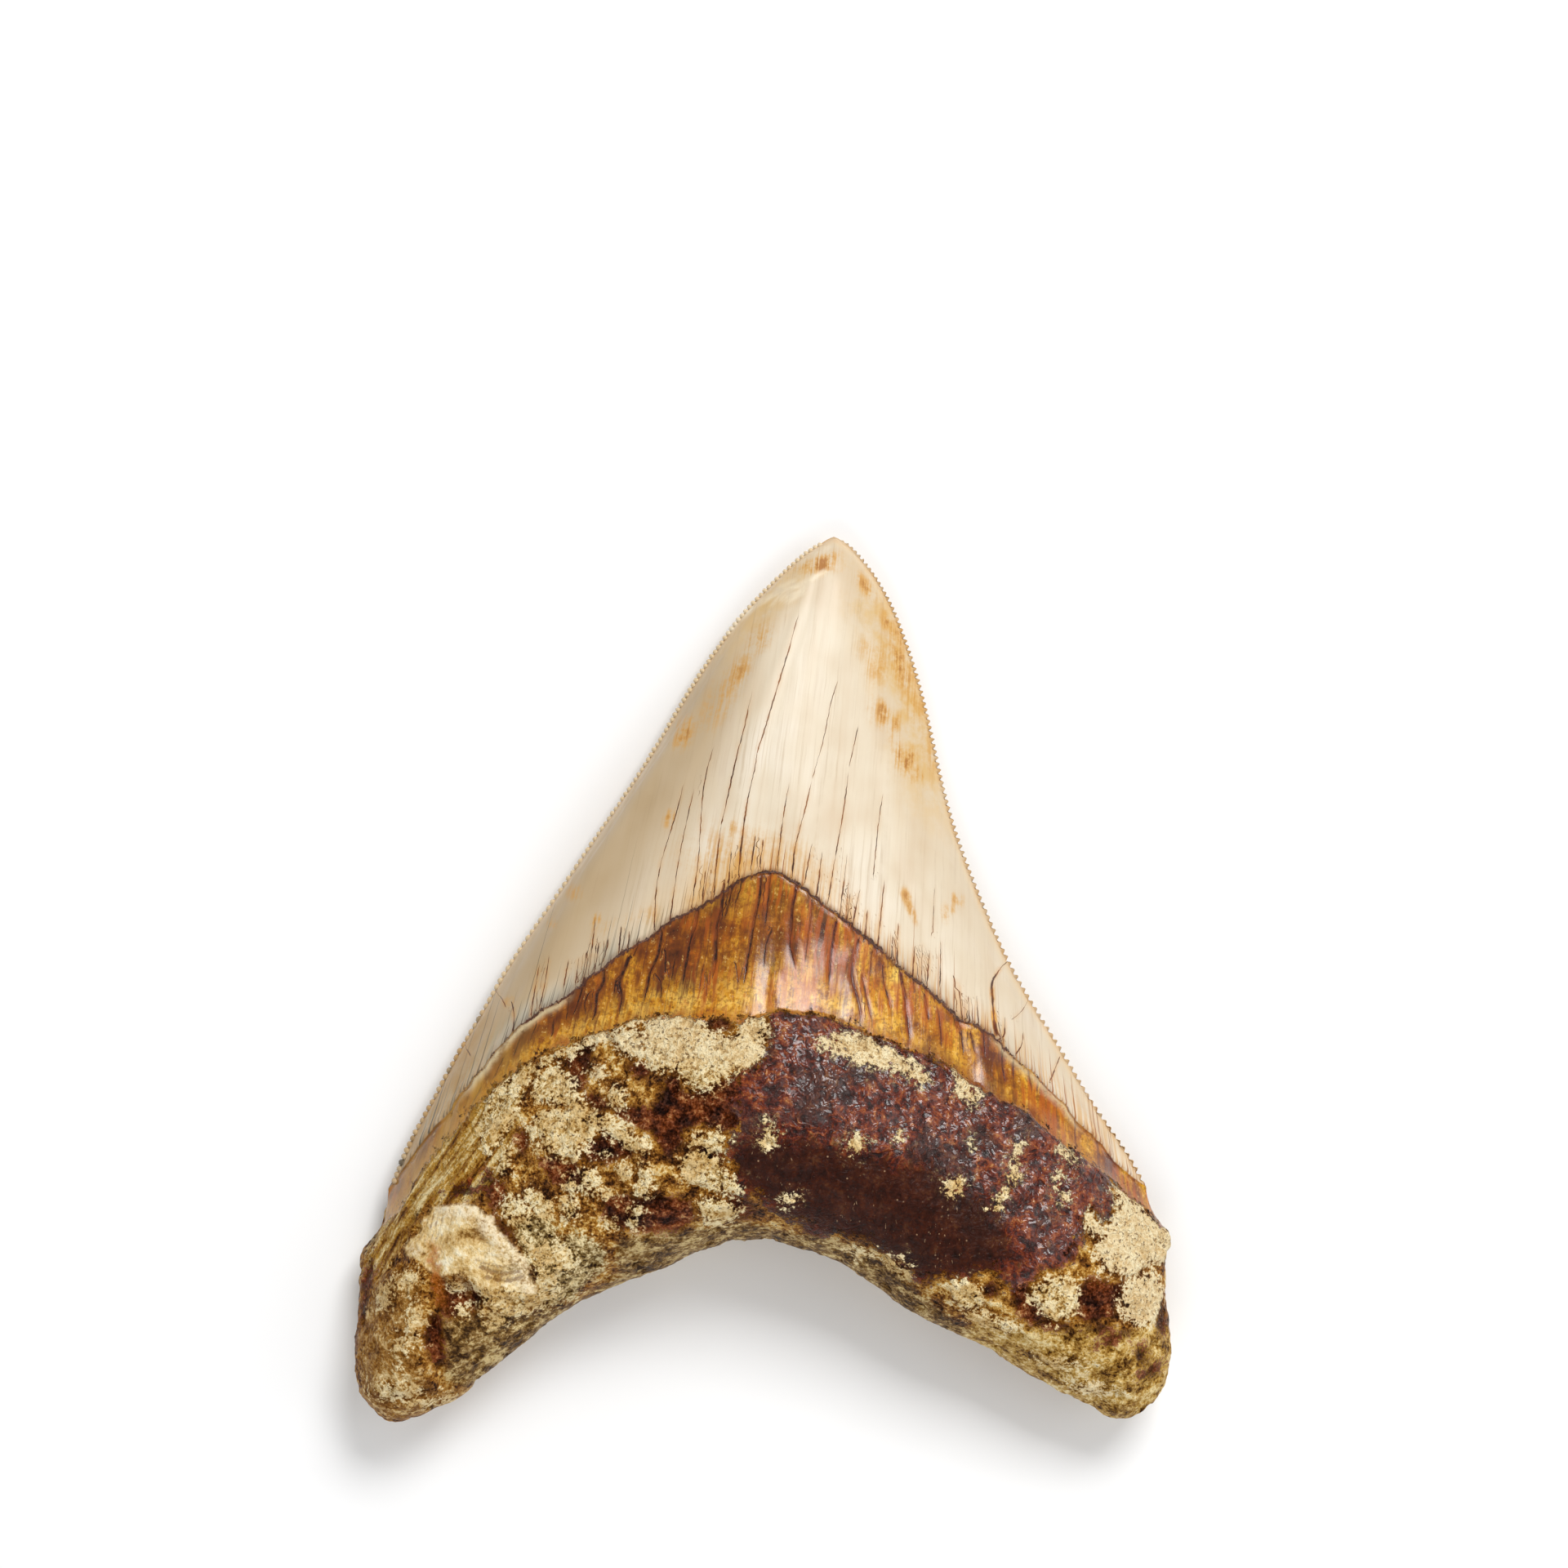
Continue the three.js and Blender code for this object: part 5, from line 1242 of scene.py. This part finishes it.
nk = N.mix(N.mul(N.step(a_neck, 1.7, 0.0), N.step(N.mad(n_mid, 0.6, N.mul(n_grain, 0.4)), 0.40, 0.58, 0.0, 0.8)), nk, N.mix(N.step(x_mm, -2, 14), (150, 84, 16), (112, 44, 14)))
nk = N.mix(N.mul(N.step(x_mm, -26, -36), N.step(ns1, 0.36, 0.6, 0.35, 0.9)), nk, N.mix(ns2, (126, 84, 18), (206, 160, 74)))
lip_m = N.mul(N.attr("lip"), N.step(N.mad(n_grain, 0.5, N.mul(n_mid, 0.5)), 0.36, 0.5, 0.35, 1.0))
nk = N.mix(lip_m, nk, (212, 192, 150))

# root
# the crust's tones follow the same grains that raise its bump: painted shade in its hollows and painted light on its
# grains, over its own mottling
tone_and_hollow_shade = N.mad(mid01, 0.46, N.mul(grit_and_hollow_shade, 0.54))
fine = N.mad(mid01, 0.24, N.mul(grit_and_hollow_shade, 0.76))
ochre = N.ramp(tone_and_hollow_shade, [(0.22, (36, 16, 4)), (0.36, (98, 56, 14)), (0.50, (158, 104, 34)), (0.62, (208, 160, 78)), (0.78, (244, 218, 158))])
c_tan = N.ramp(tone_and_hollow_shade, [(0.22, (58, 30, 5)), (0.38, (142, 100, 34)), (0.54, (198, 158, 80)), (0.74, (242, 218, 158))])
c_olive = N.ramp(tone_and_hollow_shade, [(0.24, (52, 31, 11)), (0.38, (92, 63, 25)), (0.53, (146, 110, 56)), (0.72, (218, 192, 134))])
c_grey = N.ramp(fine, [(0.24, (42, 25, 8)), (0.38, (110, 84, 42)), (0.52, (176, 148, 94)), (0.68, (238, 220, 172))])
c_cream = N.ramp(fine, [(0.18, (74, 42, 10)), (0.32, (160, 118, 54)), (0.44, (216, 184, 122)), (0.62, (250, 232, 186))])
c_rust = N.ramp(tone_and_hollow_shade, [(0.22, (14, 3, 1)), (0.44, (52, 11, 2)), (0.60, (98, 26, 5)), (0.74, (138, 60, 12)), (0.90, (196, 136, 62))])
rt = N.mix(N.step(N.add(N.attr("olive"), edge_n), -0.8, 0.8), ochre, c_olive)
rt = N.mix(N.step(N.add(N.attr("tan"), edge_n), -0.8, 0.8), rt, c_tan)
lean_n = N.noise(1.3, 3, 0.6, vector=N.xyz(N.mad(x_mm, 0.825, N.mul(y_mm, -0.565)), N.mul(y_mm, 0.12), N.mul(sep.outputs["Z"], 600.0)), seed=62)
sk_m = N.step(N.add(N.attr("streaky"), edge_n), -0.6, 0.8)
c_streak = N.ramp(N.mad(N.even(lean_n, 0.34, 0.66), 0.62, N.mul(grit_and_hollow_shade, 0.38)), [(0.16, (58, 28, 3)), (0.36, (132, 82, 16)), (0.56, (184, 140, 58)), (0.78, (236, 214, 158))])
rt = N.mix(sk_m, rt, c_streak)
rt = N.mix(N.step(N.add(N.attr("grey"), edge_n), -0.5, 0.5), rt, c_grey)
rust_m = N.step(N.add(N.attr("rust"), edge_n), -0.35, 0.35)
rt = N.mix(N.mul(rust_m, 0.92), rt, c_rust)
mar_m = N.step(N.mad(edge_n, 1.5, N.attr("maroon")), -0.3, 0.4)
wr_at = N.xyz(x_mm, N.mul(y_mm, 1.25), N.mul(sep.outputs["Z"], 1000.0))
wr_1 = N.step(N.math("ABSOLUTE", N.add(N.noise(2.4, 2, 0.5, vector=wr_at, seed=68, distort=0.9), -0.5)), 0.13, 0.0, kind="LINEAR")
wr_2 = N.step(N.math("ABSOLUTE", N.add(N.noise(1.2, 2, 0.5, vector=wr_at, seed=69, distort=0.7), -0.5)), 0.14, 0.0, kind="LINEAR")
wrinkle = N.mad(wr_1, 0.55, N.mul(wr_2, 0.45))
mar_t = N.noise(1.6, 3, 0.65, vector=N.xyz(N.mul(x_mm, 1.5), N.mul(y_mm, 0.7), 0.0), seed=64)
# the wrinkles that raise the bump also lighten the tone on their ridges and darken it in their hollows: painted light
# and shade over the maroon's own mottling
maroon_tone_and_shade = N.mad(N.even(mar_t, 0.32, 0.68), 0.30, N.mad(mid01, 0.16, N.mad(grit_and_hollow_shade, 0.17, N.mul(wrinkle, 0.37))))
ma = N.ramp(maroon_tone_and_shade, [(0.16, (12, 3, 1)), (0.34, (52, 14, 4)), (0.50, (96, 30, 9)), (0.66, (142, 66, 22)), (0.84, (202, 142, 82))])
ma = N.mix(N.step(N.noise(6.0, 3, 0.6, seed=67), 0.48, 0.62, 0, 0.7), ma, N.mix(grain01, (22, 10, 8), (62, 36, 28)))
# the lower core is painted near-black: its own darker colour, with painted shade on the slope below the bulge's crest
core_m = N.mul(N.step(N.mad(edge_n, 1.0, N.mad(N.add(mar_t, -0.5), 7.0, N.attr("core"))), -1.2, 1.2), mar_m)
ma = N.mix(N.mul(core_m, 0.9), ma, N.mix(N.mad(N.even(mar_t, 0.32, 0.68), 0.4, N.mad(mid01, 0.2, N.mul(grit_and_hollow_shade, 0.4))), (14, 4, 2), (64, 28, 15)))
fleck_d, fleck_r = N.voronoi(0.8, seed=66)
fleck_m = N.mul(N.mul(N.step(fleck_d, 0.20, 0.08), N.step(fleck_r, 0.80, 0.84)), N.step(mar_t, 0.46, 0.56, 0.1, 1.0))
fleck_m = N.math("MAXIMUM", fleck_m, N.mul(N.step(N.noise(0.5, 2, 0.6, vector=N.xyz(N.mul(x_mm, 1.6), N.mul(y_mm, 0.6), 0.0), seed=75), 0.64, 0.70), N.step(N.noise(5.0, 2, 0.5, seed=76), 0.52, 0.60)))
ma = N.mix(N.mul(fleck_m, core_m), ma, (150, 120, 92))
rt = N.mix(mar_m, rt, ma)
a_cream = N.attr("cream")
loose = N.mul(N.step(N.mad(edge_n, 1.5, N.mad(a_cream, 0.5, 0.1)), -0.4, 1.2, 0, 0.85), N.mul(N.step(rust_m, 1.0, 0.0, 0.4, 1.0), N.step(mar_m, 1.0, 0.0, 0.2, 1.0)))
rt = N.mix(loose, rt, c_tan)
cream_m = N.step(N.mad(edge_n, 1.5, a_cream), -0.4, 0.35)
specks = N.step(N.noise(0.45, 2, 0.6, seed=61), 0.42, 0.34)
tinted = N.step(N.noise(3.6, 3, 0.6, seed=63), 0.44, 0.60, 0, 0.75)
pale = N.math("MAXIMUM", N.mul(N.step(a_neck, -8.0, -4.0, 0, 0.45), N.step(x_mm, -28, -21)), N.step(x_mm, 38, 44, 0, 0.6))
cr = N.mix(N.mul(tinted, N.inv(pale)), c_cream, N.mix(grit_and_hollow_shade, (158, 108, 40), (240, 204, 132)))
cr = N.mix(N.mul(pale, 1.3), cr, N.mix(N.mad(grit_and_hollow_shade, 0.7, N.mul(N.even(n_mid, 0.36, 0.64), 0.3)), (206, 160, 90), (255, 244, 206)))
rt = N.mix(cream_m, rt, N.mix(N.mul(specks, 0.75), cr, (84, 48, 12)))
# the smooth lobe and the flake on it
lobe_m = N.step(N.mad(edge_n, 0.8, N.attr("lobe")), -0.3, 0.7)
lobe_n = N.even(N.noise(3.2, 3, 0.62, seed=72), 0.32, 0.68)
c_lobe = N.ramp(N.mad(lobe_n, 0.45, N.mul(grit_and_hollow_shade, 0.55)), [(0.16, (62, 32, 4)), (0.36, (120, 74, 20)), (0.56, (166, 120, 54)), (0.80, (226, 196, 138))])
rt = N.mix(N.mul(N.mul(lobe_m, 0.92), N.step(cream_m, 1.0, 0.0, 0.25, 1.0)), rt, c_lobe)
a_shell = N.mad(N.add(n_mid, -0.5), 2.2, N.attr("shell"))
shell_m = N.mul(N.step(a_shell, -0.3, 0.4), N.step(N.mad(edge_n, 1.2, N.mad(cream_m, -0.8, N.mul(N.step(x_mm, -36, -30), -1.0))), -2.2, -0.6, 0.4, 1.0))
shell_n = N.even(N.noise(4.0, 3, 0.6, seed=71), 0.34, 0.66)
c_shell = N.ramp(N.mad(shell_n, 0.40, N.mad(mid01, 0.20, N.mul(grit_and_hollow_shade, 0.40))), [(0.20, (128, 88, 36)), (0.36, (194, 156, 92)), (0.54, (230, 202, 146)), (0.76, (250, 238, 204))])
# painted highlight on the flake's crest, near-white over its pale shell colour
c_shell = N.mix(N.mul(N.step(N.attr("crest_highlight"), 0.05, 0.9), N.step(tone_and_hollow_shade, 0.30, 0.62, 0.15, 0.75)), c_shell, (242, 228, 198))
shaded_fold_m = N.step(N.mad(N.add(n_grain, -0.5), 1.8, N.attr("shaded_fold")), 0.38, 0.85, 0, 0.7)
rt = N.mix(N.mul(shell_m, N.step(N.attr("streaky"), 1.6, -0.6, 0.55, 1.0)), rt, c_shell)
vein = N.step(N.math("ABSOLUTE", N.mad(N.add(n_mid, -0.5), 5.0, N.mad(y_mm, 0.16, N.add(x_mm, 47.6)))), 1.3, 0.2)
rt = N.mix(N.mul(N.mul(vein, N.step(grit_and_hollow_shade, 0.2, 0.6, 0.3, 0.8)), N.mul(N.step(y_mm, -43.5, -38.8), N.step(y_mm, -32.6, -35))), rt, (178, 100, 24))
# painted shade in the flake's creases, brown
rt = N.mix(shaded_fold_m, rt, N.mix(grain01, (72, 38, 10), (134, 86, 30)))

root_m = N.step(N.mad(edge_n, 0.8, a_neck), 0.2, -0.2)
body = N.mix(root_m, nk, rt)
line_w = N.mul(N.attr("edge_line"), N.step(N.mad(n_mid, 0.5, N.mul(n_grain, 0.5)), 0.38, 0.60, 0.05, 0.36))
line_d = N.math("ABSOLUTE", N.mad(N.add(n_grain, -0.5), 0.9, N.mad(N.add(st2, -0.5), 0.8, N.add(a_enamel, 0.08))))
line_m = N.mul(N.step(N.math("DIVIDE", line_d, N.math("MAXIMUM", line_w, 0.001)), 1.0, 0.45), N.step(line_w, 0.02, 0.12))
color = N.mix(en_m, body, en)
color = N.mix(N.mul(N.step(N.math("ABSOLUTE", a_enamel), 0.9, 0.0, 0, 0.45), N.attr("edge_line")), color, (110, 62, 26))
color = N.mix(N.mul(line_m, 0.93), color, N.mix(grain01, (38, 16, 10), (92, 46, 28)))

# gloss
rough_root = N.step(grit_and_hollow_shade, 0.2, 0.8, 0.30, 0.50)
rough_root = N.blend(cream_m, rough_root, N.step(grit_and_hollow_shade, 0.2, 0.8, 0.45, 0.7))
smooth_m = shell_m
rough_root = N.blend(smooth_m, rough_root, N.step(n_mid, 0.3, 0.7, 0.40, 0.55))
mar_only = N.mul(mar_m, N.inv(cream_m))
rough_root = N.blend(mar_only, rough_root, N.step(n_grain, 0.35, 0.65, 0.28, 0.44))
rough = N.blend(root_m, N.step(ns1, 0.3, 0.7, 0.16, 0.30), rough_root)
rough = N.blend(en_m, rough, N.step(st1, 0.3, 0.7, 0.34, 0.46))
rough = N.blend(line_m, rough, 0.5)
spec = N.blend(mar_only, N.step(grit_and_hollow_shade, 0.35, 0.8, 0.04, 0.24), N.blend(core_m, 0.20, 0.08))
coat = N.blend(root_m, N.step(ns1, 0.3, 0.7, 0.7, 0.5), N.mul(N.mul(mar_only, N.mul(N.step(N.attr("core"), 0.0, -3.5, 0.06, 0.9), N.step(x_mm, -3, 7, 0.35, 1.0))), N.step(n_mid, 0.36, 0.58, 0.35, 1.0)))
coat = N.blend(en_m, coat, 0.0)
spec = N.blend(en_m, N.blend(root_m, 0.16, spec), 0.36)

# fine relief, in mm
h_root = N.mad(n_grain, 0.76, N.mul(n_fine, 0.30))
h_root = N.blend(smooth_m, h_root, N.mad(n_mid, 0.5, N.mad(n_grain, 0.42, N.mul(shaded_fold_m, -0.12))))
h_root = N.blend(mar_only, h_root, N.mad(wrinkle, 0.30, N.mul(n_grain, 0.30)))
h_root = N.blend(core_m, h_root, N.mad(wrinkle, 0.12, N.mul(n_grain, 0.24)))
h_neck = N.mad(ns1, 0.10, N.mad(ns2, 0.06, N.mad(n_grain, 0.06, N.mul(seam_m, -0.12))))
h_en = N.mad(st1, 0.010, N.mul(crack_m, -0.06))
h = N.blend(root_m, h_neck, h_root)
h = N.blend(en_m, h, h_en)
bump = N.new("ShaderNodeBump")
bump.inputs["Strength"].default_value = 1.0
bump.inputs["Distance"].default_value = 0.001
N.put(bump.inputs["Height"], h)

shader = N.new("ShaderNodeBsdfPrincipled")
N.put(shader.inputs["Base Color"], color)
N.put(shader.inputs["Roughness"], rough)
N.put(shader.inputs["Normal"], bump.outputs["Normal"])
N.put(shader.inputs["Specular IOR Level"], spec)
N.put(shader.inputs["Coat Weight"], coat)
shader.inputs["Coat Roughness"].default_value = 0.2
coat_bump = N.new("ShaderNodeBump")
coat_bump.inputs["Strength"].default_value = 1.0
coat_bump.inputs["Distance"].default_value = 0.001
skin_w = N.mad(N.step(n_big, 0.40, 0.60), 0.42, N.mul(N.step(n_mid, 0.36, 0.60), 0.32))
skin = N.mad(N.add(N.noise(1.9, 1, 0.5, vector=wr_at, seed=73, distort=0.7), -0.5), skin_w, N.mad(wr_1, 0.05, N.mul(N.noise(3.6, 1, 0.5, vector=wr_at, seed=74), 0.5)))
N.put(coat_bump.inputs["Height"], N.blend(N.step(a_neck, 0.2, -0.2), N.mul(seam_m, -0.01), skin))
N.put(shader.inputs["Coat Normal"], coat_bump.outputs["Normal"])
shader.inputs["IOR"].default_value = 1.5
out = N.new("ShaderNodeOutputMaterial")
N.put(out.inputs["Surface"], shader.outputs["BSDF"])
mesh.materials.append(mat)

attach(tooth, "root")
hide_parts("tooth")

# ---------------------------------------------------------------- stage, light and camera
bpy.ops.mesh.primitive_plane_add(size=6, location=(0, 0, 0))
floor = bpy.context.object
floor.name = "floor"
fm = bpy.data.materials.new("floor_white")
fm.use_nodes = True
fb = fm.node_tree.nodes["Principled BSDF"]
fb.inputs["Base Color"].default_value = (0.94, 0.94, 0.94, 1)
fb.inputs["Roughness"].default_value = 0.9
fb.inputs["Specular IOR Level"].default_value = 0.2
floor.data.materials.append(fm)

world = bpy.data.worlds.new("studio")
bpy.context.scene.world = world
world.use_nodes = True
world.node_tree.nodes["Background"].inputs["Color"].default_value = (1, 1, 1, 1)
world.node_tree.nodes["Background"].inputs["Strength"].default_value = 0.41


def area(name, at, size, power, size_y=None):
    lamp = bpy.data.lights.new(name, "AREA")
    lamp.energy = power
    lamp.shape = "RECTANGLE"
    lamp.size = size
    lamp.size_y = size_y or size
    o = bpy.data.objects.new(name, lamp)
    bpy.context.collection.objects.link(o)
    o.location = at
    o.rotation_euler = (-Vector(at)).to_track_quat("-Z", "Y").to_euler()


area("key", (0.37, 0.77, 0.92), 0.62, 11.4, 0.42)
area("side", (1.10, 0.10, 0.95), 0.80, 2.4)
area("front", (-0.15, -0.95, 0.80), 0.80, 4.6)

cam_data = bpy.data.cameras.new("camera")
cam_data.lens = 100
cam_data.sensor_width = 36
cam = bpy.data.objects.new("camera", cam_data)
bpy.context.collection.objects.link(cam)
cam.location = (0.0026, 0.0249, 0.571)
cam.rotation_euler = (0, 0, 0)
bpy.context.scene.camera = cam

view = bpy.context.scene.view_settings
view.view_transform = "Standard"
view.look = "None"
view.exposure = 0
view.gamma = 1

bpy.context.view_layer.update()
